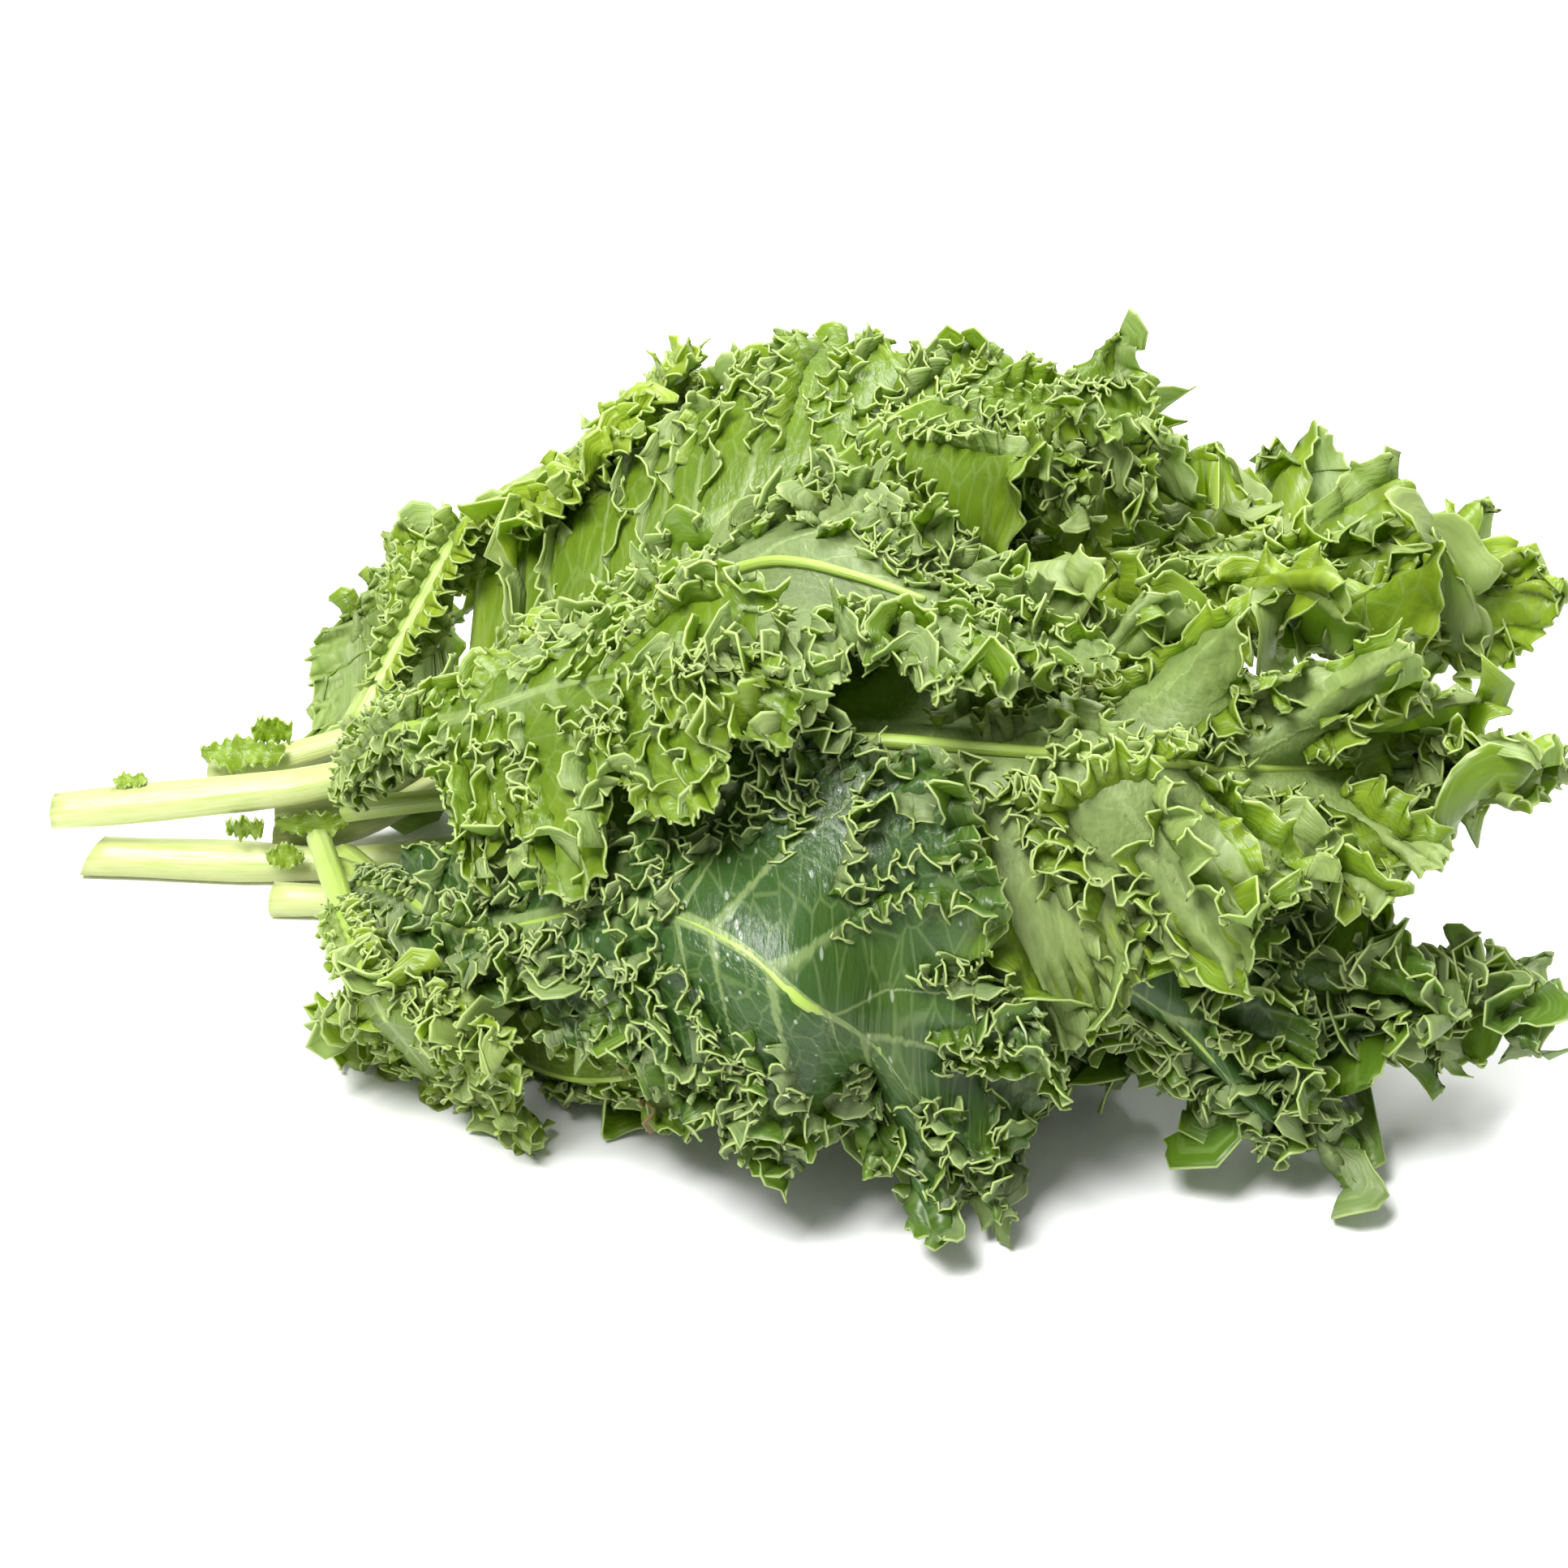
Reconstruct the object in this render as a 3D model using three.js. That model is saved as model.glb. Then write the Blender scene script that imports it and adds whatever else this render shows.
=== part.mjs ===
// A bunch of curly kale lying on its side, in millimetres, +Z up, with the stems towards -X.
//
// The bunch is a heap of leaves round one core line. Every leaf is two pieces: a pale stem with
// its midrib, and a green blade. A blade is drawn flat, with lobes and a waved margin, and laid
// on a shell of the heap: a shell is a closed loop round the core line at a given level, from 0
// on the core line to 1 on the outside of the heap. Leaves on different levels never touch.
import * as THREE from "three";

// Driving dimensions.
const BLADE_THICKNESS = 1;
const RIB_GAP = 2.8; // between a blade and the midrib under it
const LAYER_GAP = 4.5; // between the middles of two blades, one on the other
const MOST_SLANTED = 0.45; // the steepest slope at which a blade keeps its thickness, as a cosine
const CORE_DROP = 3; // how far the lowest shell is pressed down onto the surface
const COLUMN_PITCH = 7.6; // between the columns of a blade, along its margin
const BIG_WAVE = { length: 46, height: 15 };
const SMALL_WAVE = { length: 21, height: 7 };
const LOOSENESS = 0.15; // how much of its waves a blade keeps where it lies on the next one
const SINUS_DEPTH = 0.3; // how far the cuts between lobes go in, as a share of the width
const STEM_SIDES = 8;
const BEND_STEPS = 3; // in the bend between a bare stem and its blade
const RIB_TIP_RADIUS = 0.9;
const RIB_END = 0.8; // as a share of the way from the blade's foot to its tip
// Towards the stems the heap is gathered: it is drawn down and back there, by these shares.
const GATHER = { from: -10, to: 100, above: 30, down: 0.52, before: 0, back: 0.3, ease: 25 };
const STEM_COLOUR = 0xcfdc8e;
const BLADE_COLOUR = 0x3f6b2a;

// Cross-sections of the heap: the core line's place, and the heap's reach from it.
const SECTIONS = [
  { x: -225, y: 32, z: 22, up: 20, front: 20, back: 20 },
  { x: -150, y: 32, z: 24, up: 30, front: 50, back: 32 },
  { x: -120, y: 30, z: 28, up: 52, front: 95, back: 42 },
  { x: -90, y: 28, z: 33, up: 58, front: 122, back: 58 },
  { x: -50, y: 26, z: 38, up: 80, front: 148, back: 78 },
  { x: 0, y: 24, z: 43, up: 102, front: 155, back: 92 },
  { x: 60, y: 22, z: 45, up: 116, front: 145, back: 108 },
  { x: 120, y: 22, z: 45, up: 92, front: 135, back: 96 },
  { x: 150, y: 23, z: 45, up: 68, front: 118, back: 82 },
  { x: 185, y: 24, z: 44, up: 66, front: 88, back: 80 },
  { x: 225, y: 26, z: 42, up: 62, front: 70, back: 76 },
];
// How square a quarter of the cross-section is: 2 is an ellipse, and more is boxier.
const SQUARENESS = { frontTop: 1.55, backTop: 2.4, low: 5 };

// The leaves, from the innermost to the outermost. rib is the midrib under the blade, as
// [x, angle round the core, level]: 0 degrees is up, 90 is the front and -90 the back. half is
// the blade's half width towards the front and towards the back, tip how far it goes past the
// rib, and lift how far each margin rises off the shell. stem is the bare stem from its cut end
// as [x, y, z], and stalk the way on to the blade's foot, as for rib. rib_out says that the leaf
// shows its underside.
const LEAVES = [
  {
    name: "bottom", seed: 16, lobes: 3, radius: 6,
    stem: [[-205, 35, 5.55], [-130, 30, 5.55]], stalk: [],
    rib: [[-94, 176, 0.6], [-40, 180, 0.9], [20, 182, 0.98], [84, 178, 0.96]],
    half: [66, 62], tip: 50, lift: [0, 0],
  },
  {
    name: "back", seed: 13, lobes: 4, radius: 5,
    stem: [[-152, 46, 6], [-130, 44.5, 6]], stalk: [],
    rib: [[-94, -104, 0.55], [-50, -93, 0.72], [0, -86, 0.9], [50, -88, 1.0]],
    half: [54, 50], tip: 46, lift: [0, 0],
  },
  {
    name: "back_right", seed: 14, lobes: 4, radius: 5,
    stem: [[-172, 60, 17], [-142, 61, 26], [-126, 61, 30]], stalk: [],
    rib: [[-94, -72, 0.5], [10, -62, 0.58], [100, -68, 0.8], [170, -72, 0.96]],
    half: [44, 58], tip: 38, lift: [4, 4],
  },
  {
    name: "low_right", seed: 8, lobes: 4, radius: 5,
    stem: [[-149, 13, 5.4], [-130, 13, 5.6]], stalk: [],
    rib: [[-94, 106, 0.5], [0, 100, 0.58], [100, 86, 0.84], [168, 92, 0.98]],
    half: [46, 40], tip: 36, lift: [0, 0],
  },
  {
    name: "front_right", seed: 7, lobes: 4, radius: 5,
    stem: [[-128, 14, 19]], stalk: [],
    rib: [[-94, 94, 0.5], [-10, 84, 0.6], [70, 78, 0.82], [124, 96, 1.0]],
    half: [48, 46], tip: 36, lift: [0, 0],
  },
  {
    name: "right_top", seed: 10, lobes: 4, radius: 5,
    stem: [[-150, 42, 17], [-130, 42, 18.5]], stalk: [],
    rib: [[-94, -34, 0.38], [0, -24, 0.42], [96, -10, 0.62], [172, 6, 1.0]],
    half: [54, 46], tip: 34, lift: [2, 0],
  },
  {
    name: "right", seed: 9, lobes: 4, radius: 5,
    stem: [[-126, 22, 31]], stalk: [],
    rib: [[-94, 54, 0.4], [0, 54, 0.5], [96, 57, 0.92], [166, 58, 1.0]],
    half: [44, 50], tip: 36, lift: [6, 6],
  },
  {
    name: "top", seed: 11, lobes: 5, radius: 6,
    stem: [[-215, 37, 20], [-142, 34.5, 30], [-126, 35, 34]], stalk: [],
    rib: [[-106, 4, 0.55], [-30, -14, 0.62], [36, -16, 0.92], [84, -12, 0.8]],
    half: [70, 62], tip: 38, lift: [0, 2],
  },
  {
    name: "low_left", seed: 5, lobes: 4, radius: 4.6,
    stem: [[-128, -4, 8]], stalk: [],
    rib: [[-84, 106, 0.86], [-62, 99, 0.93], [-38, 91, 1.0]],
    half: [38, 58], tip: 38, lift: [0, 0],
  },
  {
    name: "front", seed: 6, lobes: 4, radius: 5,
    stem: [[-128, -6, 28]], stalk: [],
    rib: [[-106, 74, 0.78], [-40, 68, 0.9], [10, 78, 1.0], [36, 92, 1.02]],
    half: [58, 62], tip: 46, lift: [6, 6],
  },
  {
    name: "front_left", seed: 4, lobes: 3, radius: 3.6,
    stem: [[-132, -2, 37]], stalk: [],
    rib: [[-110, 76, 0.86], [-101, 88, 0.96], [-93, 97, 1.0]],
    half: [40, 38], tip: 32, lift: [0, 0],
  },
  {
    name: "centre", seed: 12, lobes: 4, radius: 5,
    stem: [[-126, 29, 47.5]], stalk: [],
    rib: [[-108, 14, 0.8], [-44, 18, 0.9], [6, 28, 0.98], [46, 38, 1.0]],
    half: [50, 46], tip: 42, lift: [4, 4], rib_out: true,
  },
  {
    name: "back_top", seed: 2, lobes: 4, radius: 5,
    stem: [[-126, 48, 44]], stalk: [],
    rib: [[-100, -36, 0.8], [-76, -48, 0.86], [-50, -54, 0.88]],
    half: [42, 46], tip: 32, lift: [0, 4],
  },
  {
    name: "back_left", seed: 1, lobes: 2, radius: 3.2,
    stem: [[-120, 50, 38]], stalk: [],
    rib: [[-112, -70, 0.84], [-116, -84, 0.92], [-122, -96, 0.96]],
    half: [28, 32], tip: 24, lift: [0, 6],
  },
  {
    name: "left", seed: 3, lobes: 4, radius: 5,
    stem: [[-126, 14, 46]], stalk: [],
    rib: [[-106, 24, 0.92], [-68, 34, 1.0], [-30, 44, 1.02]],
    half: [42, 40], tip: 40, lift: [6, 6],
  },
];

// Torn scraps of leaf left on the bare stems: the middle, the size along the stem and across it,
// and how far the scrap is turned about X.
const SCRAPS = [
  { at: [-161, 54.5, 29], length: 25, width: 11, turn: 40 },
  { at: [-153, 63, 35.5], length: 10, width: 10, turn: 80 },
  { at: [-192, 38, 32], length: 8, width: 5, turn: 20 },
  { at: [-158, 28, 20], length: 11, width: 9, turn: 100 },
  { at: [-139, 33, 18], length: 22, width: 8, turn: 75 },
  { at: [-146, 22, 14], length: 11, width: 8, turn: 60 },
];

const rad = THREE.MathUtils.degToRad;
const mix = THREE.MathUtils.lerp;
const rise = THREE.MathUtils.smoothstep;

// A smooth curve through the values, at position from 0 to values.length - 1.
function through(values, position) {
  const last = values.length - 1;
  const i = Math.min(Math.max(Math.floor(position), 0), last - 1);
  const at = (n) =>
    n < 0 ? 2 * values[0] - values[1] : n > last ? 2 * values[last] - values[last - 1] : values[n];
  const [a, b, c, d] = [at(i - 1), at(i), at(i + 1), at(i + 2)];
  const t = position - i;
  return b + (t / 2) * (c - a + t * (2 * a - 5 * b + 4 * c - d + t * (3 * (b - c) + d - a)));
}

function sectionAt(x) {
  let i = 1;
  while (i < SECTIONS.length - 1 && SECTIONS[i].x < x) i++;
  const share = (x - SECTIONS[i - 1].x) / (SECTIONS[i].x - SECTIONS[i - 1].x);
  const position = i - 1 + Math.min(Math.max(share, 0), 1);
  const value = (key) => through(SECTIONS.map((s) => s[key]), position);
  return { y: value("y"), z: value("z"), up: value("up"), front: value("front"), back: value("back") };
}

// How far the heap's outside is from the core line, in the direction of an angle.
function reachAt(section, angle) {
  const up = Math.cos(angle);
  const side = Math.sin(angle);
  const tall = up >= 0 ? section.up : section.z + CORE_DROP;
  const wide = side >= 0 ? section.front : section.back;
  const top = side >= 0 ? SQUARENESS.frontTop : SQUARENESS.backTop;
  const p = up >= 0 ? top : SQUARENESS.low;
  return (Math.abs(up / tall) ** p + Math.abs(side / wide) ** p) ** (-1 / p);
}

// The point of the heap at x, at an angle round the core and a distance from it.
function heapPoint({ x, angle, far }) {
  const section = sectionAt(x);
  return new THREE.Vector3(x, section.y - far * Math.sin(angle), section.z + far * Math.cos(angle));
}

// A distance from the core, cut short where it would go below the surface the bunch lies on.
function aboveFloor({ x, angle, far }) {
  const down = -Math.cos(angle);
  return down > 0.05 ? Math.min(far, sectionAt(x).z / down) : far;
}

// How far out the heap has grown as the leaves are laid on it, in cells of x and angle.
const CELL = { x: 4, angle: rad(3) };
const CELLS = { start: -112, columns: 92, rows: 120 };
const grown = new Array(CELLS.columns * CELLS.rows).fill(0);
const cellAt = (i, j) =>
  Math.min(Math.max(i, 0), CELLS.columns - 1) * CELLS.rows + ((j % CELLS.rows) + CELLS.rows) % CELLS.rows;

function layOn({ x, angle, far }, thick) {
  const i = Math.round((x - CELLS.start) / CELL.x);
  if (i < 0 || i >= CELLS.columns) return;
  const cell = cellAt(i, Math.round(angle / CELL.angle));
  grown[cell] = Math.max(grown[cell], far + thick);
}

// The grown heap with its high spots widened, then evened out, so that a sheet laid on it clears it.
function smoothHeap() {
  const overWindow = (values, reachX, reachAngle, start, join) => {
    const result = [];
    for (let i = 0; i < CELLS.columns; i++) {
      for (let j = 0; j < CELLS.rows; j++) {
        let value = start;
        for (let m = -reachX; m <= reachX; m++) {
          for (let n = -reachAngle; n <= reachAngle; n++) value = join(value, values[cellAt(i + m, j + n)]);
        }
        result.push(value);
      }
    }
    return result;
  };
  const wide = overWindow(grown, 5, 3, 0, Math.max);
  return overWindow(wide, 2, 2, 0, (sum, value) => sum + value / 25);
}

function heightIn(heap, x, angle) {
  const u = (x - CELLS.start) / CELL.x;
  const v = angle / CELL.angle;
  const [i, j] = [Math.floor(u), Math.floor(v)];
  const low = mix(heap[cellAt(i, j)], heap[cellAt(i, j + 1)], v - j);
  const high = mix(heap[cellAt(i + 1, j)], heap[cellAt(i + 1, j + 1)], v - j);
  return mix(low, high, u - i);
}

const softMax = (a, b) => (a + b + Math.hypot(a - b, 3)) / 2;

// The midrib's place on the heap at s, from 0 at the blade's foot to 1, and its directions there.
function ribAt(leaf, s) {
  const values = (k) => leaf.rib.map((p) => (k === 1 ? rad(p[k]) : p[k]));
  const at = (u) => [0, 1, 2].map((k) => through(values(k), u * (leaf.rib.length - 1)));
  const [x, angle, level] = at(s);
  const [x0, angle0] = at(s - 0.01);
  const [x1, angle1] = at(s + 0.01);
  const reach = reachAt(sectionAt(x), angle);
  const along = new THREE.Vector2(x1 - x0, (angle1 - angle0) * level * reach).normalize();
  return { s, x, angle, level, reach, along, across: new THREE.Vector2(-along.y, along.x) };
}

// The blade's outline at k, from 0 at its foot to 1 at its tip: where on the rib its line starts,
// how far forward the line leans, its length as a share of the half width, and how much of that
// the cut between two lobes takes at the margin.
function outlineAt(leaf, k) {
  const lean = mix(rad(10), rad(90), k ** 1.25);
  const width = 0.16 + 0.84 * rise(k, 0, leaf.rib.length > 3 ? 0.42 : 0.36);
  const wave = 0.5 + 0.5 * Math.cos(2 * Math.PI * (leaf.lobes * k ** 0.9 + 0.5));
  const sinus = SINUS_DEPTH * wave ** 3 * rise(k, 0.05, 0.3) * (1 - rise(k, 0.86, 0.97));
  return { s: 1 - (1 - k) ** 1.15, lean, width, sinus };
}

// A point of the flat blade, on one side of the rib.
function flatPoint(leaf, side, k, t) {
  const outline = outlineAt(leaf, k);
  const rib = ribAt(leaf, outline.s);
  const half = mix(leaf.half[side > 0 ? 0 : 1], leaf.tip, rise(k, 0.55, 1));
  const out = rib.across.clone().multiplyScalar(side * Math.cos(outline.lean));
  out.addScaledVector(rib.along, Math.sin(outline.lean));
  const length = half * outline.width;
  return { rib, out, length, reach: length * t * (1 - outline.sinus * t ** 2) };
}

// The positions of a blade's columns along one margin, at equal steps, as [{ k, arc }].
function columnsOf(leaf) {
  const steps = 400;
  const arcs = [0];
  let before = null;
  for (let i = 0; i <= steps; i++) {
    const { rib, out, reach } = flatPoint(leaf, 1, i / steps, 1);
    const scale = rib.level * rib.reach;
    const here = new THREE.Vector2(rib.x, rib.angle * scale).addScaledVector(out, reach);
    if (before) arcs.push(arcs[i - 1] + here.distanceTo(before));
    before = here;
  }
  const total = arcs[steps];
  const count = 3 * Math.max(4, Math.round(total / (3 * COLUMN_PITCH)));
  return Array.from({ length: count + 1 }, (_, n) => {
    const arc = (total * n) / count;
    let i = 1;
    while (i < steps && arcs[i] < arc) i++;
    const share = (arc - arcs[i - 1]) / (arcs[i] - arcs[i - 1] || 1);
    return { k: Math.min((i - 1 + share) / steps, 1), arc };
  });
}

const ribRadius = (leaf, s) => mix(leaf.radius * 0.62, RIB_TIP_RADIUS, s ** 0.8);

// A point of the waved blade, laid on the heap under it.
function bladePoint(leaf, side, column, t, heap) {
  const { rib, out, length, reach } = flatPoint(leaf, side, column.k, t);
  const arc = side * column.arc + 37 * leaf.seed;
  const big = (2 * Math.PI * arc) / BIG_WAVE.length + 0.9 * Math.sin(arc / 31 + leaf.seed);
  const small = (2 * Math.PI * arc) / SMALL_WAVE.length + 0.7 * Math.sin(arc / 17 + 2 * leaf.seed);
  const room = Math.min(1, length / 34);
  const bigRise = BIG_WAVE.height * room * t ** 1.6 * Math.sin(big);
  const smallRise = SMALL_WAVE.height * room * rise(t, 0.45, 1) * Math.sin(small);
  const lift = leaf.lift[side > 0 ? 0 : 1] * t ** 2;
  const x = rib.x + reach * out.x;
  const angle = rib.angle + (reach * out.y) / (rib.level * rib.reach);
  const radius = ribRadius(leaf, rib.s);
  const overRib = 1 - rise(reach, radius + 2, 3 * radius + 14);
  const ridge = leaf.rib_out ? 3 * radius * overRib : 0;
  const wave = bigRise + smallRise;
  const own = rib.level * rib.reach + lift + wave + ridge;
  const ribDepth = 2.2 * radius + (leaf.rib_out ? 0 : RIB_GAP);
  const most = (BIG_WAVE.height * t ** 1.6 + SMALL_WAVE.height * rise(t, 0.45, 1)) * room;
  const loose = LOOSENESS * (wave + most);
  const under = heightIn(heap, x, angle) + LAYER_GAP + ribDepth * overRib + loose;
  const far = aboveFloor({ x, angle, far: softMax(own, under) + BLADE_THICKNESS / 2 });
  return { x, angle, far: far - BLADE_THICKNESS / 2 };
}

// Lays the triangles of a blade on the heap, as the next leaves find it.
function layTriangles(spots, slants, triangles) {
  for (const corners of triangles) {
    const [a, b, c] = corners.map((n) => ({ ...spots[n], thick: (slants[n] * BLADE_THICKNESS) / 2 }));
    const steps = 8;
    for (let i = 0; i <= steps; i++) {
      for (let j = 0; j <= steps - i; j++) {
        const [u, v] = [i / steps, j / steps];
        const at = (key) => a[key] * (1 - u - v) + b[key] * u + c[key] * v;
        layOn({ x: at("x"), angle: at("angle"), far: at("far") }, at("thick"));
      }
    }
  }
}

// The surface normals at the points, all facing away from the core line, and how much longer a
// line away from the core is inside the sheet than the sheet is thick.
function normalsOf(spots, points, triangles) {
  const surface = new THREE.BufferGeometry().setFromPoints(points).setIndex(triangles.flat());
  surface.computeVertexNormals();
  const normals = points.map((_, i) =>
    new THREE.Vector3().fromBufferAttribute(surface.getAttribute("normal"), i),
  );
  const outward = spots.map(({ angle }, i) =>
    normals[i].dot(new THREE.Vector3(0, -Math.sin(angle), Math.cos(angle))),
  );
  const sign = Math.sign(outward.reduce((sum, value) => sum + value, 0));
  for (const normal of normals) normal.multiplyScalar(sign);
  const slants = outward.map((value, i) => {
    const drawn = GATHER.down * rise(-spots[i].x, GATHER.from, GATHER.to);
    return (1 + 0.6 * drawn) / Math.max(sign * value, MOST_SLANTED);
  });
  return { normals, slants };
}

// One closed sheet from its two faces, given as points, and the triangles of one face.
function sheetOf(upper, lower, triangles) {
  const n = upper.length;
  const index = [];
  const edges = new Map();
  for (const [a, b, c] of triangles) {
    index.push(a, b, c, n + a, n + c, n + b);
    for (const [p, q] of [[a, b], [b, c], [c, a]]) {
      if (!edges.delete(q + "," + p)) edges.set(p + "," + q, [p, q]);
    }
  }
  for (const [p, q] of edges.values()) index.push(q, p, n + p, q, n + p, n + q);
  return new THREE.BufferGeometry().setFromPoints([...upper, ...lower]).setIndex(index);
}

// A scrap: a small sheet with a toothed and waved outline.
function scrapOf({ at, length, width, turn }, seed) {
  const columns = 6;
  const points = [];
  const triangles = [];
  for (let i = 0; i <= columns; i++) {
    const u = (2 * i) / columns - 1;
    const half = (width / 2) * (1 - 0.75 * u * u) * (i % 2 ? 1 : 0.7);
    for (const v of [-1, 0, 1]) {
      const wave = 0.12 * width * Math.sin(2.4 * i + seed + v);
      points.push(new THREE.Vector3((u * length) / 2, v * half, wave * (0.3 + Math.abs(v))));
    }
  }
  for (let i = 0; i < columns; i++) {
    for (const j of [0, 1]) {
      const a = 3 * i + j;
      triangles.push([a, a + 3, a + 4], [a, a + 4, a + 1]);
    }
  }
  const face = (offset) =>
    points.map((p) => {
      const moved = p.clone().add(new THREE.Vector3(0, 0, offset));
      return moved.applyAxisAngle(new THREE.Vector3(1, 0, 0), rad(turn)).add(new THREE.Vector3(...at));
    });
  return sheetOf(face(BLADE_THICKNESS / 2), face(-BLADE_THICKNESS / 2), triangles);
}

// A blade: rows of points from the rib to the margin, with three times as many near the margin.
function bladeOf(leaf, heap) {
  const columns = columnsOf(leaf);
  const last = columns.length - 1;
  const rows = [
    { t: 0, step: 3 },
    { t: 0.36, step: 3 },
    { t: 0.64, step: 3 },
    { t: 0.83, step: 1 },
    { t: 1, step: 1 },
  ];
  const spots = [];
  const numbers = new Map();
  const vertex = (side, row, i) => {
    const shared = row === 0 || i === last;
    const key = [shared ? 0 : side, row, i].join();
    if (!numbers.has(key)) {
      numbers.set(key, spots.length);
      spots.push(bladePoint(leaf, side, columns[i], rows[row].t, heap));
    }
    return numbers.get(key);
  };
  const triangles = [];
  for (const side of [1, -1]) {
    const add = (a, b, c) => triangles.push(side > 0 ? [a, b, c] : [a, c, b]);
    for (let row = 1; row < rows.length; row++) {
      const step = rows[row].step;
      const inner = rows[row - 1].step;
      for (let i = 0; i < last; i += inner) {
        const near = (n) => vertex(side, row - 1, n);
        const far = (n) => vertex(side, row, n);
        if (step === inner) {
          add(near(i), far(i), near(i + step));
          add(near(i + step), far(i), far(i + step));
        } else {
          add(near(i), far(i), far(i + 1));
          add(near(i), far(i + 1), near(i + 3));
          add(near(i + 3), far(i + 1), far(i + 2));
          add(near(i + 3), far(i + 2), far(i + 3));
        }
      }
    }
  }
  const overRib = columns
    .map(({ k }, i) => ({ k, number: numbers.get([0, 0, i].join()) }))
    .filter(({ k, number }) => number !== undefined && k < RIB_END);
  return { spots, triangles, overRib };
}

// A round stem of changing radius along a row of { centre, radius }, closed at both ends.
function stemGeometry(rings) {
  const points = [];
  const index = [];
  const direction = (i) => {
    const from = rings[Math.max(i - 1, 0)].centre;
    const to = rings[Math.min(i + 1, rings.length - 1)].centre;
    return to.clone().sub(from).normalize();
  };
  let up = new THREE.Vector3(0, 0, 1);
  rings.forEach(({ centre, radius }, i) => {
    const along = direction(i);
    up = up.clone().addScaledVector(along, -up.dot(along)).normalize();
    const side = new THREE.Vector3().crossVectors(along, up);
    for (let n = 0; n < STEM_SIDES; n++) {
      const angle = (2 * Math.PI * (n + 0.5)) / STEM_SIDES;
      const point = centre.clone().addScaledVector(side, radius * Math.sin(angle));
      points.push(point.addScaledVector(up, radius * Math.cos(angle)));
    }
  });
  for (let i = 0; i < rings.length - 1; i++) {
    for (let n = 0; n < STEM_SIDES; n++) {
      const m = (n + 1) % STEM_SIDES;
      const [a, b] = [i * STEM_SIDES + n, i * STEM_SIDES + m];
      const [c, d] = [a + STEM_SIDES, b + STEM_SIDES];
      index.push(a, c, b, b, c, d);
    }
  }
  const end = (rings.length - 1) * STEM_SIDES;
  for (let n = 1; n < STEM_SIDES - 1; n++) {
    index.push(0, n, n + 1, end, end + n + 1, end + n);
  }
  return new THREE.BufferGeometry().setFromPoints(points).setIndex(index);
}

// A leaf's bare stem from its cut end to the blade's foot, and the midrib on under the blade.
function stemRings(leaf, { spots, overRib }, points, normals, heap) {
  const side = leaf.rib_out ? 1 : -1;
  const rib = overRib.map(({ k, number }) => {
    const radius = ribRadius(leaf, outlineAt(leaf, k).s);
    const depth = radius + BLADE_THICKNESS / 2 + RIB_GAP;
    layOn({ ...spots[number], far: spots[number].far + side * depth }, radius);
    return { centre: points[number].clone().addScaledVector(normals[number], side * depth), radius };
  });
  const way = [...leaf.stalk, leaf.rib[0]];
  const stalk = [];
  for (let i = 0; i < way.length - 1; i++) {
    const steps = Math.ceil((way[i + 1][0] - way[i][0]) / 28);
    for (let n = 0; n < steps; n++) {
      const [x, degrees, level] = [0, 1, 2].map((k) => mix(way[i][k], way[i + 1][k], n / steps));
      const radius = mix(leaf.radius, rib[0].radius, rise(x, -130, way[way.length - 1][0]));
      const angle = rad(degrees);
      const own = level * reachAt(sectionAt(x), angle);
      const point = { x, angle, far: softMax(own, heightIn(heap, x, angle) + radius + 1) };
      for (const turn of [-1, 0, 1]) {
        layOn({ x, angle: angle + (turn * radius) / point.far, far: point.far }, radius);
        layOn({ x: x + 14, angle: angle + (turn * radius) / point.far, far: point.far }, radius);
      }
      stalk.push({ centre: heapPoint(point), radius });
    }
  }
  const bare = leaf.stem.map((p) => ({ centre: new THREE.Vector3(...p), radius: leaf.radius }));
  const joined = [...bare, ...stalk, rib[0], rib[1]];
  const curve = new THREE.CatmullRomCurve3(joined.map(({ centre }) => centre));
  const bend = [];
  for (let n = 1; n < BEND_STEPS; n++) {
    const at = (joined.length - 3 + n / BEND_STEPS) / (joined.length - 1);
    const radius = mix(joined[joined.length - 3].radius, rib[0].radius, n / BEND_STEPS);
    bend.push({ centre: curve.getPoint(at), radius });
  }
  return [...bare, ...stalk, ...bend, ...rib];
}

function turnedOut(geometry) {
  const points = geometry.getAttribute("position");
  const index = geometry.getIndex().array;
  const [a, b, c] = [new THREE.Vector3(), new THREE.Vector3(), new THREE.Vector3()];
  let volume = 0;
  for (let i = 0; i < index.length; i += 3) {
    [a, b, c].forEach((v, n) => v.fromBufferAttribute(points, index[i + n]));
    volume += a.dot(b.cross(c));
  }
  if (volume < 0) for (let i = 0; i < index.length; i += 3) {
    [index[i], index[i + 1]] = [index[i + 1], index[i]];
  }
  return geometry;
}

function pieceOf(name, geometry, colour, roughness) {
  const material = new THREE.MeshStandardMaterial({ color: colour, roughness, metalness: 0 });
  const mesh = new THREE.Mesh(turnedOut(geometry), material);
  mesh.name = name;
  return mesh;
}

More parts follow.
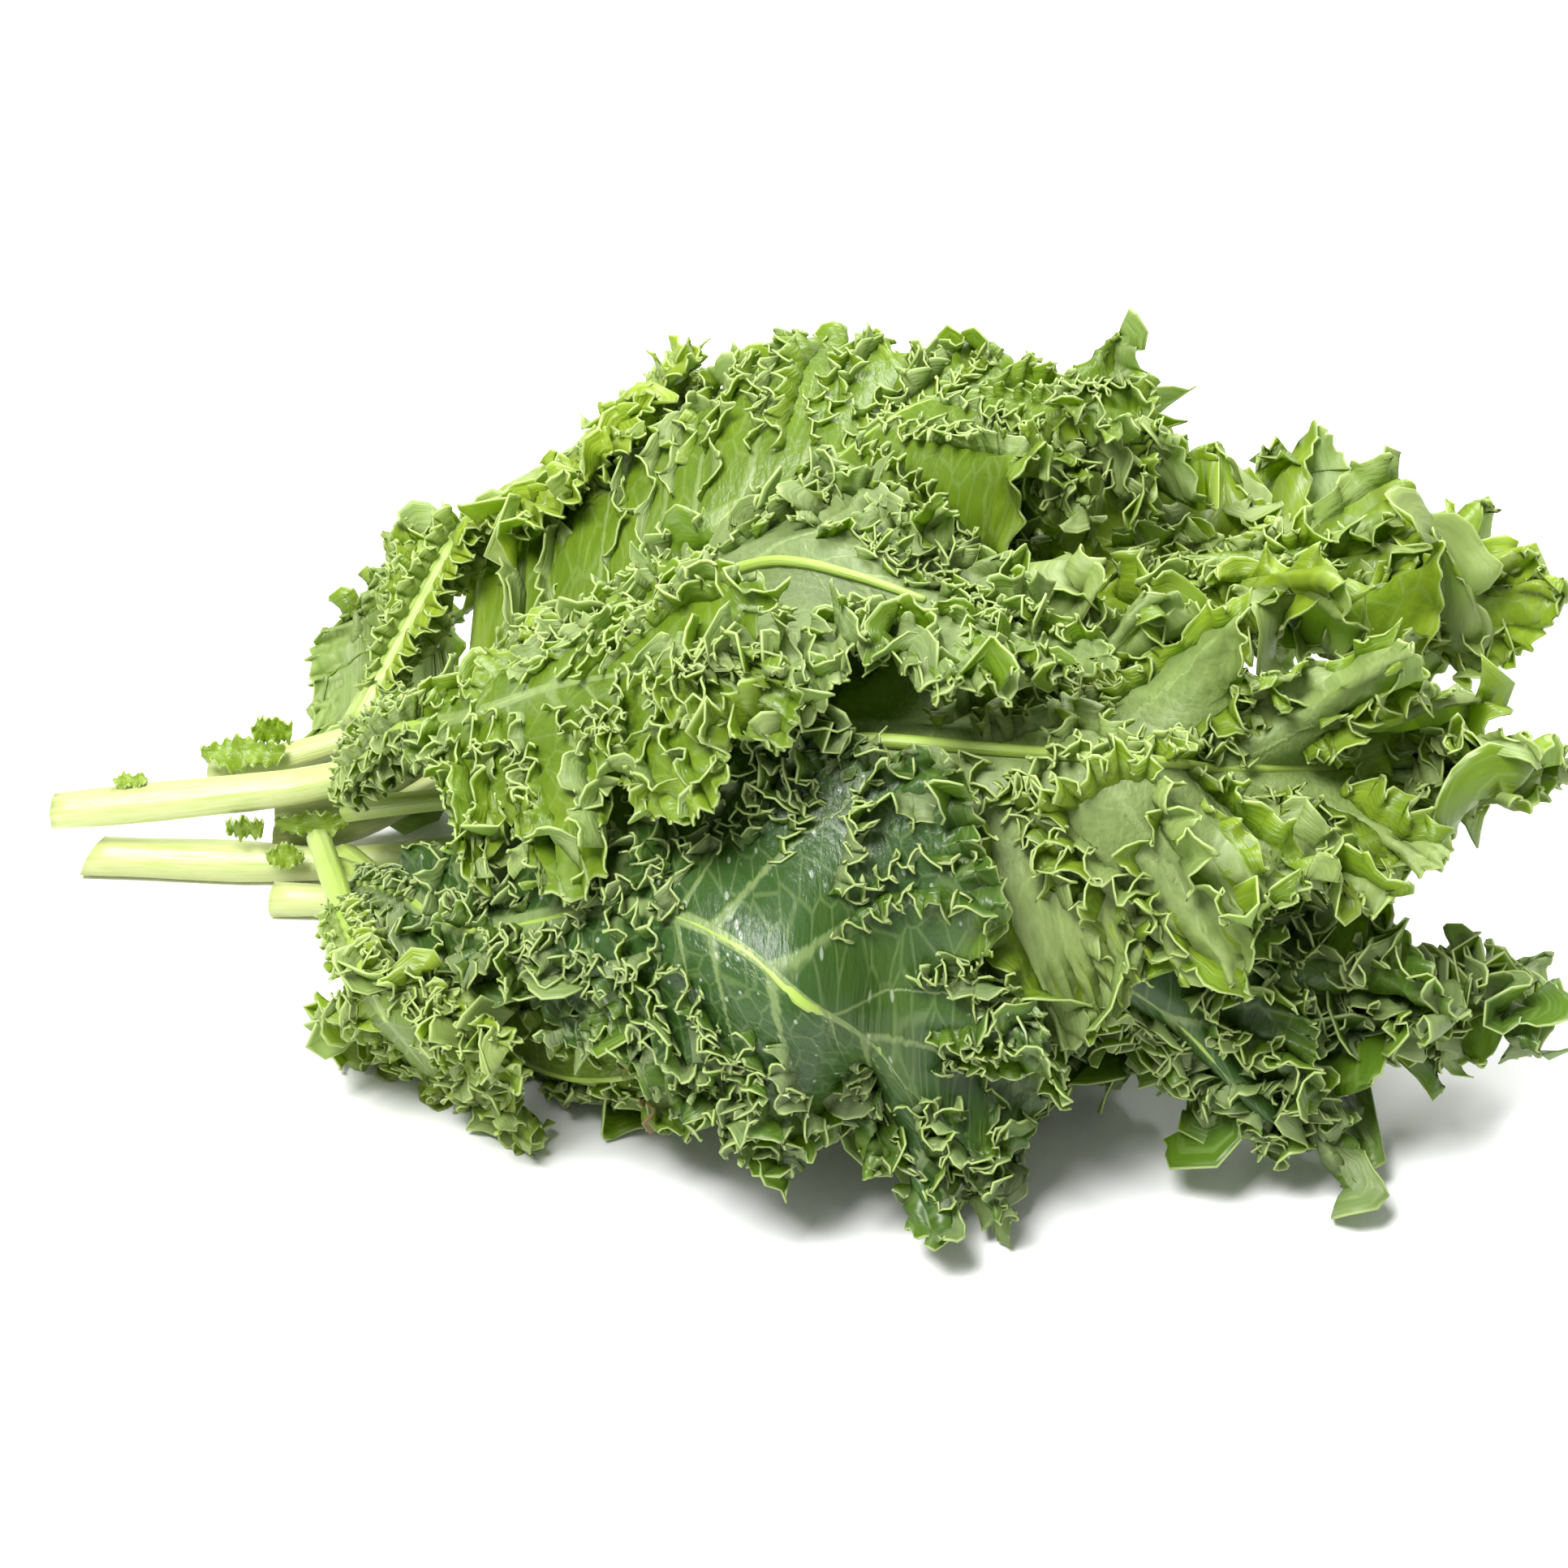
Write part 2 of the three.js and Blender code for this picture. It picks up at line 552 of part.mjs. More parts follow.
const bunch = new THREE.Group();
for (const leaf of LEAVES) {
  const heap = smoothHeap();
  const blade = bladeOf(leaf, heap);
  const points = blade.spots.map(heapPoint);
  const { normals, slants } = normalsOf(blade.spots, points, blade.triangles);
  const rings = stemRings(leaf, blade, points, normals, heap);
  layTriangles(blade.spots, slants, blade.triangles);
  const [outer, inner] = [0, 1].map((side) =>
    blade.spots.map((spot, i) => {
      const thick = slants[i] * BLADE_THICKNESS;
      const far = aboveFloor({ ...spot, far: spot.far + thick / 2 }) - side * thick;
      return heapPoint({ ...spot, far });
    }),
  );
  bunch.add(pieceOf(leaf.name + "_blade", sheetOf(outer, inner, blade.triangles), BLADE_COLOUR, 0.6));
  bunch.add(pieceOf(leaf.name + "_stem", stemGeometry(rings), STEM_COLOUR, 0.5));
}
SCRAPS.forEach((scrap, i) => {
  bunch.add(pieceOf("scrap_" + (i + 1), scrapOf(scrap, i), BLADE_COLOUR, 0.6));
});

// Draws the points of a piece in where the heap is gathered.
function gather(points) {
  const eased = (value) => (value > 0 ? value ** 2 / (value + GATHER.ease) : 0);
  for (let i = 0; i < points.count; i++) {
    const [y, z] = [points.getY(i), points.getZ(i)];
    const share = rise(-points.getX(i), GATHER.from, GATHER.to);
    points.setY(i, y + share * GATHER.back * eased(GATHER.before - y));
    points.setZ(i, z - share * GATHER.down * eased(z - GATHER.above));
  }
}
for (const mesh of bunch.children) gather(mesh.geometry.getAttribute("position"));

// The origin is on the surface, under the middle of the bunch.
const middle = new THREE.Box3().setFromObject(bunch).getCenter(new THREE.Vector3());
for (const mesh of bunch.children) mesh.geometry.translate(-middle.x, -middle.y, 0);

export default bunch;
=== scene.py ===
"""A bunch of curly kale lying on its side: ruffled leaf blades, ribbed stems and torn scraps.

Each blade is drawn flat, laid on a heap of leaves in the order they lie, and then waved, curled
and toothed towards its margin. Frills, the margins of its overlapping lobes, stand on it.
Lengths in the tables are in millimetres.
"""
import functools
import itertools
import math

import bpy
import numpy as np
from bpy.props import FloatProperty, FloatVectorProperty, PointerProperty
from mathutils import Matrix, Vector


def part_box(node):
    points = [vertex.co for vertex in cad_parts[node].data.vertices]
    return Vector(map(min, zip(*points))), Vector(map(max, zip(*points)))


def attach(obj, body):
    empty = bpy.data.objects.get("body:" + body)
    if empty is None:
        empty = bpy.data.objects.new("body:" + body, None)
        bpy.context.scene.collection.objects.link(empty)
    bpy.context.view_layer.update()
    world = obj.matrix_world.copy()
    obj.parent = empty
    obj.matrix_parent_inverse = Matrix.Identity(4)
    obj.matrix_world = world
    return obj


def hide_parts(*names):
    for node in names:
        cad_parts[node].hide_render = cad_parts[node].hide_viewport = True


bl_info = {
    "name": "Curly Kale Bunch",
    "version": (1, 0, 0),
    "blender": (4, 5, 0),
    "location": "3D View > Sidebar > Kale",
    "description": "Builds the blades, stems and scraps of a bunch of curly kale, and its stage",
    "category": "Add Mesh",
}

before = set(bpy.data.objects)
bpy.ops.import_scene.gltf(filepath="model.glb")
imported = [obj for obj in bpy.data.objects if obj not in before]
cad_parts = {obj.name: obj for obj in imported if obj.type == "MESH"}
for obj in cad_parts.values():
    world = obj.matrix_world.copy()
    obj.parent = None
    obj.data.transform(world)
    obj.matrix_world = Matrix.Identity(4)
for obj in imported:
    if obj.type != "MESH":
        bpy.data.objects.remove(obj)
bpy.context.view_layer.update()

# Cross-sections of the heap: x, the core line's y and z, and the reach up, front and back.
SECTIONS = np.array([
    (-225, 32, 22, 20, 20, 20),
    (-150, 32, 24, 30, 50, 32),
    (-120, 30, 28, 52, 95, 42),
    (-90, 28, 33, 58, 122, 58),
    (-50, 26, 38, 80, 148, 78),
    (0, 24, 43, 102, 155, 92),
    (60, 22, 45, 116, 145, 108),
    (120, 22, 45, 92, 135, 96),
    (150, 23, 45, 68, 118, 82),
    (185, 24, 44, 66, 88, 80),
    (225, 26, 42, 62, 70, 76),
], dtype=float)
FRONT_TOP, BACK_TOP, LOW = 1.55, 2.4, 5.0  # how square each quarter of a section is
CORE_DROP = 3
RIB_GAP = 2.8
LAYER_GAP = 4.5
COLUMN_PITCH = 7.6
BIG_WAVE = (46, 15)  # length and height
SMALL_WAVE = (21, 7)
LOOSENESS = 0.15
SINUS_DEPTH = 0.3
RIB_TIP_RADIUS = 0.9
RIB_END = 0.8
CELL_X, CELL_ANGLE, CELL_START, CELLS = 4, math.radians(3), -112, (92, 120)
COARSE_ROWS = (0, 0.36, 0.64, 0.83, 1)
BURIED = 5.0  # a frill deeper than this under other leaves isn't drawn
SINK = 4.5  # how far a blade settles into the gaps under it
MARGIN_PITCH = {True: 0.33, False: 0.6}  # from column to column, for fine and plain leaves
ROW_PITCHES = {True: (5.0, 2.8, 2.2, 1.8, 0.7), False: (7.0, 4.5, 3.0, 1.8, 1.4)}
ROW_ZONES = (24, 10, 3.2, 1.4, 0)  # how far from the margin each zone of rows ends
VEIN_PITCH = 24
ROLL, LOBE, QUILT = 5.5, 4.0, 1.1
TOOTH_PITCH, TOOTH_HEIGHT = 2.1, 2.2
SHEET_THICK, FRILL_THICK, RIM_THICK = 0.45, 0.42, 0.15  # the rim's is added to the sheet's
FRILL_STEP = {True: 1.72, False: 3.4}
FRILL_ROWS = (0, 0.4, 0.66, 0.84, 1.0)
FRILL_ZONES = (1, 1, 2)
RIB_FRILL_ROWS, RIB_FRILL_STEP, RIB_STRETCHES = (0.08, 0.22), 1.9, 6
WING_ANGLES = np.radians((-130, -75, -25, 25, 75, 130))
STEM_STEP, STEM_SIDES = 16, 20
HIDDEN_STEM_X, HIDDEN_STEM_START = -135, 110  # a stem that starts inside the heap is greener
BOTTOM_STEM_LOW_X, BOTTOM_STEM_HIGH_Y = -205.369, 40.531  # its box among the leaves

# The photographed view
ELEVATION = math.radians(33)
LENS, SENSOR = 85, 36
PIXEL, PIXELS = 0.235e-3, 1932  # metres to a pixel, and pixels across
TARGET_RISE = 0.0449

# What a leaf has unless its own row says otherwise.
# rib: x, angle round the core and level, where 0 is up and 90 the front. half: the half width
# towards the front and the back. lift: how far each margin is raised. tone: 0 dark blue-green,
# 1 mid green, 2 yellow-green. reach: how near to the rib frills come within the window, a stretch
# of the rib that is left barer; 0 is the rib and 1 the margin. rib_frills: where the frills along
# the rib end. widen: how far the margin is drawn out. high: the frills' height against the usual.
# wings: the length of the ruffles down the stem. cut: how slanting the stem's cut face is.
# turned: the underside is out. rib_out: the rib lies on the blade. wet: water stands on it, drawn as glossy
# spots lightened by painted glints.
LEAF = dict(lobes=4, radius=5, lift=(0, 0), reach=0.2, window=(0.0, 1.0), rib_frills=0.0, widen=5.0,
            high=1.0, wings=0, cut=0.12, fine=True, brown=0.0, turned=False, rib_out=False, wet=False)

# The leaves in the order they are laid.
LEAVES = [LEAF | leaf for leaf in (
    dict(name="bottom", seed=16, lobes=3, radius=6, stem=[(-205, 35, 5.55), (-130, 30, 5.55)],
         rib=[(-94, 176, 0.6), (-40, 180, 0.9), (20, 182, 0.98), (84, 178, 0.96)],
         half=(66, 62), tip=50, tone=0.6, reach=1.0, widen=-8, cut=0.55, fine=False),
    dict(name="back", seed=13, stem=[(-152, 46, 6), (-130, 44.5, 6)],
         rib=[(-94, -104, 0.55), (-50, -93, 0.72), (0, -86, 0.9), (50, -88, 1.0)],
         half=(54, 50), tip=46, tone=0.9, reach=0.5, fine=False),
    dict(name="back_right", seed=14, stem=[(-172, 60, 17), (-142, 61, 26), (-126, 61, 30)],
         rib=[(-94, -72, 0.5), (10, -62, 0.58), (100, -68, 0.8), (170, -72, 0.96)],
         half=(44, 58), tip=38, lift=(4, 4), tone=1.1, widen=22, high=1.5, fine=False),
    dict(name="low_right", seed=8, stem=[(-149, 13, 5.4), (-130, 13, 5.6)],
         rib=[(-94, 106, 0.5), (0, 100, 0.58), (100, 86, 0.84), (168, 92, 0.98)],
         half=(46, 40), tip=36, tone=0.1, reach=0.12, widen=9, high=1.6),
    dict(name="front_right", seed=7, stem=[(-128, 14, 19)],
         rib=[(-94, 94, 0.5), (-10, 84, 0.6), (70, 78, 0.82), (124, 96, 1.0)],
         half=(48, 46), tip=36, tone=0.1, reach=0.16, widen=10, window=(0.55, 0.8), high=1.3),
    dict(name="right_top", seed=10, stem=[(-150, 42, 17), (-130, 42, 18.5)],
         rib=[(-94, -34, 0.38), (0, -24, 0.42), (96, -10, 0.62), (172, 6, 1.0)],
         half=(54, 46), tip=34, lift=(2, 0), tone=1.2, reach=0.08, widen=22, high=1.5),
    dict(name="right", seed=9, stem=[(-126, 22, 31)],
         rib=[(-94, 54, 0.4), (0, 54, 0.5), (96, 57, 0.92), (166, 58, 1.0)],
         half=(44, 50), tip=36, lift=(6, 6), tone=1.0, reach=0.3, widen=19, window=(0.78, 0.97),
         rib_frills=0.78, high=1.2, turned=True),
    dict(name="top", seed=11, lobes=5, radius=6,
         stem=[(-215, 37, 20), (-142, 34.5, 30), (-126, 35, 34)],
         rib=[(-106, 4, 0.55), (-30, -14, 0.62), (36, -16, 0.92), (84, -12, 0.8)],
         half=(70, 62), tip=38, lift=(0, 2), tone=0.95, reach=0.06, widen=-2),
    dict(name="low_left", seed=5, radius=4.6, stem=[(-128, -4, 8)],
         rib=[(-84, 106, 0.86), (-62, 99, 0.93), (-38, 91, 1.0)],
         half=(38, 58), tip=38, tone=0.8, reach=0.1, wings=40, brown=1),
    dict(name="front", seed=6, stem=[(-128, -6, 28)],
         rib=[(-106, 74, 0.78), (-40, 68, 0.9), (10, 78, 1.0), (36, 92, 1.02)],
         half=(58, 62), tip=46, lift=(6, 6), tone=0.05, reach=0.26, window=(0.5, 0.84),
         rib_frills=0.46, wings=22, high=0.95, wet=True),
    dict(name="front_left", seed=4, lobes=3, radius=3.6, stem=[(-132, -2, 37)],
         rib=[(-110, 76, 0.86), (-101, 88, 0.96), (-93, 97, 1.0)],
         half=(40, 38), tip=32, tone=1.2, reach=0.12, wings=40),
    dict(name="centre", seed=12, stem=[(-126, 29, 47.5)],
         rib=[(-108, 14, 0.8), (-44, 18, 0.9), (6, 28, 0.98), (46, 38, 1.0)],
         half=(50, 46), tip=42, lift=(4, 4), tone=0.5, reach=0.26, window=(0.3, 0.7),
         rib_frills=0.3, wings=36, turned=True, rib_out=True),
    dict(name="back_top", seed=2, stem=[(-126, 48, 44)],
         rib=[(-100, -36, 0.8), (-76, -48, 0.86), (-50, -54, 0.88)],
         half=(42, 46), tip=32, lift=(0, 4), tone=1.8, reach=0.3, wings=52),
    dict(name="back_left", seed=1, lobes=2, radius=3.2, stem=[(-120, 50, 38)],
         rib=[(-112, -70, 0.84), (-116, -84, 0.92), (-122, -96, 0.96)],
         half=(28, 32), tip=24, lift=(0, 6), tone=1.1, reach=0.3, wings=44),
    dict(name="left", seed=3, stem=[(-126, 14, 46)],
         rib=[(-106, 24, 0.92), (-68, 34, 1.0), (-30, 44, 1.02)],
         half=(42, 40), tip=40, lift=(6, 6), tone=0.9, reach=0.05, wings=40),
)]

# Torn scraps on the bare stems: the middle, the length and width, and the turn about X.
SCRAPS = [
    ((-161, 54.5, 29), 25, 11, 40),
    ((-153, 62, 32.5), 12, 11, 80),
    ((-192, 38, 30), 10, 6, 20),
    ((-158, 28, 20), 11, 9, 100),
    ((-139, 33, 18), 22, 8, 75),
    ((-146, 22, 14), 11, 8, 60),
]


def mix(a, b, share):
    return a + (b - a) * share


def rise(value, low, high):
    t = np.clip((np.asarray(value, dtype=float) - low) / (high - low), 0, 1)
    return t * t * (3 - 2 * t)


def through(values, position):
    """A smooth curve through the values, at positions from 0 to len(values) - 1."""
    v = np.asarray(values, dtype=float)
    last = len(v) - 1
    v = np.concatenate([[2 * v[0] - v[1]], v, [2 * v[-1] - v[-2]]])
    i = np.clip(np.floor(position).astype(int), 0, last - 1)
    a, b, c, d = v[i], v[i + 1], v[i + 2], v[i + 3]
    t = position - i
    if v.ndim > 1:
        t = t[:, None]
    return b + (t / 2) * (c - a + t * (2 * a - 5 * b + 4 * c - d + t * (3 * (b - c) + d - a)))


# The heap

SECTION_X = np.arange(-300, 300.1, 0.5)
SECTION_VALUES = []
for _column in range(1, 6):
    _next = np.clip(np.searchsorted(SECTIONS[:, 0], SECTION_X), 1, len(SECTIONS) - 1)
    _share = (SECTION_X - SECTIONS[_next - 1, 0]) / (SECTIONS[_next, 0] - SECTIONS[_next - 1, 0])
    SECTION_VALUES.append(through(SECTIONS[:, _column], _next - 1 + np.clip(_share, 0, 1)))


def section(x, which):
    """The core line's y (0) or z (1), or the reach up (2), front (3) or back (4), at x."""
    return np.interp(x, SECTION_X, SECTION_VALUES[which])


def reach_at(x, angle):
    """How far the heap's outside is from the core line."""
    up, side = np.cos(angle), np.sin(angle)
    tall = np.where(up >= 0, section(x, 2), section(x, 1) + CORE_DROP)
    wide = np.where(side >= 0, section(x, 3), section(x, 4))
    p = np.where(up >= 0, np.where(side >= 0, FRONT_TOP, BACK_TOP), LOW)
    return (np.abs(up / tall) ** p + np.abs(side / wide) ** p) ** (-1 / p)


def gather(points):
    """Draws points in towards the stems, where the heap is gathered."""
    def eased(value):
        value = np.maximum(value, 0)
        return value ** 2 / (value + 25)

    x, y, z = points[..., 0], points[..., 1], points[..., 2]
    share = rise(-x, -10, 100)
    return np.stack([x, y + share * 0.3 * eased(-y), z - share * 0.52 * eased(z - 30)], axis=-1)


def heap_point(x, angle, far):
    y = section(x, 0) - far * np.sin(angle)
    return gather(np.stack([x, y, section(x, 1) + far * np.cos(angle)], axis=-1))


def above_floor(x, angle, far):
    down = -np.cos(angle)
    return np.where(down > 0.05, np.minimum(far, section(x, 1) / np.maximum(down, 0.05)), far)


def lay_on(grown, x, angle, far):
    """Grows the heap, in cells of x and angle, to these distances from the core line."""
    i = np.floor((x - CELL_START) / CELL_X + 0.5).astype(int)
    j = np.floor(angle / CELL_ANGLE + 0.5).astype(int) % CELLS[1]
    inside = (i >= 0) & (i < CELLS[0])
    np.maximum.at(grown, (i[inside], j[inside]), far[inside])


def smooth_heap(grown):
    """The heap with its high spots widened and then evened out."""
    def shifts(values, across, around):
        for m in range(-across, across + 1):
            for n in range(-around, around + 1):
                rows = np.clip(np.arange(CELLS[0]) + m, 0, CELLS[0] - 1)
                yield values[rows][:, (np.arange(CELLS[1]) + n) % CELLS[1]]

    wide = functools.reduce(np.maximum, shifts(grown, 5, 3))
    return sum(shifts(wide, 2, 2)) / 25


def height_in(heap, x, angle):
    u, v = (x - CELL_START) / CELL_X, angle / CELL_ANGLE
    i, j = np.floor(u).astype(int), np.floor(v).astype(int)
    a, b = np.clip(i, 0, CELLS[0] - 1), np.clip(i + 1, 0, CELLS[0] - 1)
    c, d = j % CELLS[1], (j + 1) % CELLS[1]
    low, high = mix(heap[a, c], heap[a, d], v - j), mix(heap[b, c], heap[b, d], v - j)
    return mix(low, high, u - i)


# One blade

def rib_at(leaf, s):
    """The midrib's x, angle, level, reach and direction at s, from the blade's foot to its tip."""
    table = np.array(leaf["rib"], dtype=float)
    table[:, 1] = np.radians(table[:, 1])

    def at(u):
        return [through(table[:, n], u * (len(table) - 1)) for n in range(3)]

    x, angle, level = at(s)
    x0, angle0, _ = at(s - 0.01)
    x1, angle1, _ = at(s + 0.01)
    reach = reach_at(x, angle)
    along = np.stack([x1 - x0, (angle1 - angle0) * level * reach], axis=-1)
    return x, angle, level, reach, along / np.linalg.norm(along, axis=-1, keepdims=True)


def flat_point(leaf, side, k, t):
    """A point of the flat blade: its place on the rib, the way out from it and how far."""
    lean = mix(math.radians(10), math.radians(90), k ** 1.25)
    width = 0.16 + 0.84 * rise(k, 0, 0.42 if len(leaf["rib"]) > 3 else 0.36)
    wave = 0.5 + 0.5 * np.cos(2 * np.pi * (leaf["lobes"] * k ** 0.9 + 0.5))
    sinus = SINUS_DEPTH * wave ** 3 * rise(k, 0.05, 0.3) * (1 - rise(k, 0.86, 0.97))
    s = 1 - (1 - k) ** 1.15
    x, angle, level, reach, along = rib_at(leaf, s)
    across = np.stack([-along[..., 1], along[..., 0]], axis=-1)
    half = np.where(side > 0, leaf["half"][0], leaf["half"][1])
    length = mix(half, leaf["tip"], rise(k, 0.55, 1)) * width
    out = across * (side * np.cos(lean))[..., None] + along * np.sin(lean)[..., None]
    return dict(s=s, x=x, angle=angle, scale=level * reach, out=out, length=length,
                margin=length * (1 - sinus), far=length * t * (1 - sinus * t ** 2))


def columns_of(leaf, pitch, multiple):
    """The columns of a blade at equal steps along its margin: k and the way along the margin."""
    k = np.linspace(0, 1, 401)
    flat = flat_point(leaf, np.ones_like(k), k, np.ones_like(k))
    here = np.stack([flat["x"], flat["angle"] * flat["scale"]], axis=-1)
    here = here + flat["out"] * flat["far"][:, None]
    arcs = np.concatenate([[0], np.cumsum(np.linalg.norm(np.diff(here, axis=0), axis=1))])
    count = multiple * max(4, math.floor(arcs[-1] / (multiple * pitch) + 0.5))
    arc = arcs[-1] * np.arange(count + 1) / count
    return np.clip(np.interp(arc, arcs, k), 0, 1), arc


def rib_radius(leaf, s):
    return mix(leaf["radius"] * 0.62, RIB_TIP_RADIUS, s ** 0.8)


def blade_spots(leaf, side, k, arc, t, heap):
    """The waved blade laid on the heap: x, angle, distance from the core, and the flat point."""
    flat = flat_point(leaf, side, k, t)
    seed = leaf["seed"]
    way = side * arc + 37 * seed
    big = 2 * np.pi * way / BIG_WAVE[0] + 0.9 * np.sin(way / 31 + seed)
    small = 2 * np.pi * way / SMALL_WAVE[0] + 0.7 * np.sin(way / 17 + 2 * seed)
    room = np.minimum(1, flat["length"] / 34)
    most = (BIG_WAVE[1] * t ** 1.6 + SMALL_WAVE[1] * rise(t, 0.45, 1)) * room
    wave = room * (BIG_WAVE[1] * t ** 1.6 * np.sin(big)
                   + SMALL_WAVE[1] * rise(t, 0.45, 1) * np.sin(small))
    lift = np.where(side > 0, leaf["lift"][0], leaf["lift"][1]) * t ** 2
    x = flat["x"] + flat["far"] * flat["out"][..., 0]
    angle = flat["angle"] + flat["far"] * flat["out"][..., 1] / flat["scale"]
    radius = rib_radius(leaf, flat["s"])
    over_rib = 1 - rise((flat["far"] - radius - 2) / (2 * radius + 12), 0, 1)
    rib_out = leaf["rib_out"]
    own = flat["scale"] + lift + wave + (3 * radius * over_rib if rib_out else 0)
    depth = 2.2 * radius + (0 if rib_out else RIB_GAP)
    under = height_in(heap, x, angle) + LAYER_GAP + depth * over_rib + LOOSENESS * (wave + most)
    far = (own + under + np.hypot(own - under, 3)) / 2 + 0.5
    return x, angle, above_floor(x, angle, far) - 0.5, flat


def lay_blade(leaf, grown, heap):
    """Grows the heap by a coarse copy of the blade, as sheets of triangles."""
    k, arc = columns_of(leaf, COLUMN_PITCH, 3)
    last = len(k) - 1
    corners = []
    for side in (1.0, -1.0):
        rows = []
        for t in COARSE_ROWS:
            x, angle, far, _ = blade_spots(leaf, np.full_like(k, side), k, arc, np.full_like(k, t), heap)
            rows.append(np.stack([x, angle, far + 0.75], axis=-1))
        for row in range(1, 5):
            near, over = rows[row - 1], rows[row]
            for i in range(0, last, 3 if row < 4 else 1):
                if row < 3:
                    corners += [(near[i], over[i], near[i + 3]), (near[i + 3], over[i], over[i + 3])]
                elif row == 3:
                    corners += [(near[i], over[i], over[i + 1]), (near[i], over[i + 1], near[i + 3]),
                                (near[i + 3], over[i + 1], over[i + 2]),
                                (near[i + 3], over[i + 2], over[i + 3])]
                else:
                    corners += [(near[i], over[i], near[i + 1]), (near[i + 1], over[i], over[i + 1])]
    corners = np.array(corners)
    shares = np.array([(i / 8, j / 8) for i in range(9) for j in range(9 - i)])
    u, v = shares[:, 0][None, :, None], shares[:, 1][None, :, None]
    spots = corners[:, None, 0] * (1 - u - v) + corners[:, None, 1] * u + corners[:, None, 2] * v
    spots = spots.reshape(-1, 3)
    lay_on(grown, spots[:, 0], spots[:, 1], spots[:, 2])
    if leaf["rib_out"]:
        k = k[::3][k[::3] < RIB_END]
        zero = np.zeros_like(k)
        x, angle, far, flat = blade_spots(leaf, zero + 1, k, zero, zero, heap)
        lay_on(grown, x, angle, far + 2 * rib_radius(leaf, flat["s"]) + 3.3)


def directions(points):
    """Unit vectors along the columns, along the rows and off the sheet, at each of its points."""
    along = np.gradient(points, axis=0)
    out = np.gradient(points, axis=1)
    off = np.cross(along, out)
    return [v / np.maximum(np.linalg.norm(v, axis=-1, keepdims=True), 1e-6) for v in (along, out, off)]


def row_places(longest, fine):
    """Rows from the rib to the margin, closer together near the margin, in five zones."""
    pitches = ROW_PITCHES[fine]
    edges = (max(longest, 34),) + ROW_ZONES
    splits = [1 - edge / edges[0] for edge in edges]
    counts = [max(1, round((edges[n] - edges[n + 1]) / pitches[n])) for n in range(5)]
    rows = [np.linspace(splits[n], splits[n + 1], counts[n] + 1)[:-1] for n in range(5)]
    return np.concatenate(rows + [[1.0]]), counts


def curl(points, way, edge, seed, sizes, room, sign, widen):
    """Waves and curls a sheet, more and more towards its margin.

    way is along the margin and edge the distance from it; room is less where the sheet is small.
    """
    along, out, off = directions(points)
    off = off * sign
    wave = 2 * np.pi * way / sizes.ruffle + 1.1 * np.sin(way / 17 + seed) + 0.7 * np.sin(way / 7.9 + 3 * seed)
    wave = wave + 0.05 * edge + 0.9 * np.sin(edge / 6 + way / 9)
    high = sizes.ruffle_height * room * rise(30 - edge, 0, 30) ** 1.2 * (0.8 + 0.3 * np.sin(way / 23 + seed))
    roll = ROLL * room * rise(18 - edge, 0, 18) * (0.5 + 0.5 * np.sin(2 * np.pi * way / 37 + seed))
    lobe = LOBE * room * rise(16 - edge, 0, 16) * (0.5 + 0.5 * np.cos(2 * np.pi * way / 22 + 2 * seed)) ** 2
    points = points + off * (high * (np.sin(wave) + 0.2))[..., None]
    points = points - along * (0.3 * high * np.sin(2 * wave))[..., None]
    spread = widen * room * rise(20 - edge, 0, 20) * (0.75 + 0.25 * np.sin(way / 6.5 + seed))
    points = points + out * (spread - roll - lobe)[..., None]
    quilt = np.sin(way / 1.25 + 1.6 * np.sin(edge / 3.1))
    quilt = quilt * np.sin(edge / 1.7 + 1.3 * np.sin(way / 4.3) + seed)
    points = points + off * (QUILT * room * rise(34 - edge, 0, 20) * rise(edge, 0, 4) * quilt)[..., None]
    along, out, off = directions(points)
    off = off * sign
    fine = 2 * np.pi * way / sizes.curl + 1.3 * np.sin(way / 6.1 + seed) + 0.3 * edge
    high = sizes.curl_height * room * rise(9 - edge, 0, 9) * (0.8 + 0.4 * np.sin(way / 5.3 + seed))
    points = points + off * (high * np.sin(fine))[..., None]
    points = points - along * (0.28 * high * np.sin(2 * fine))[..., None]
    tooth = np.abs(((way / TOOTH_PITCH + 0.3 * np.sin(way / 5)) % 1) * 2 - 1)
    return points + out * (TOOTH_HEIGHT * room * (tooth - 0.5) * rise(3.2 - edge, 0, 3.2))[..., None]


def thickened(points, off, thick, triangles):
    """A closed sheet from its middle surface: its points, upper face first, and its triangles."""
    n = len(points)
    half = off * (thick / 2)[:, None]
    upper, lower = points + half, points - half
    lower[:, 2] = np.maximum(lower[:, 2], 0.25)
    upper[:, 2] = np.maximum(upper[:, 2], 0.55)
    edges = np.concatenate([triangles[:, [0, 1]], triangles[:, [1, 2]], triangles[:, [2, 0]]])
    code, back = edges[:, 0] * n + edges[:, 1], edges[:, 1] * n + edges[:, 0]
    rim = edges[~np.isin(code, back)]
    p, q = rim[:, 0], rim[:, 1]
    faces = [triangles, triangles[:, ::-1] + n, np.stack([q, p, n + p], 1), np.stack([q, n + p, n + q], 1)]
    return np.concatenate([upper, lower]), np.concatenate(faces)


def grid_triangles(numbers):
    """The triangles of a grid of point numbers."""
    a, b, c, d = numbers[:-1, :-1], numbers[1:, :-1], numbers[1:, 1:], numbers[:-1, 1:]
    quads = np.stack([a, b, c, a, c, d], axis=-1).reshape(-1, 3)
    return quads


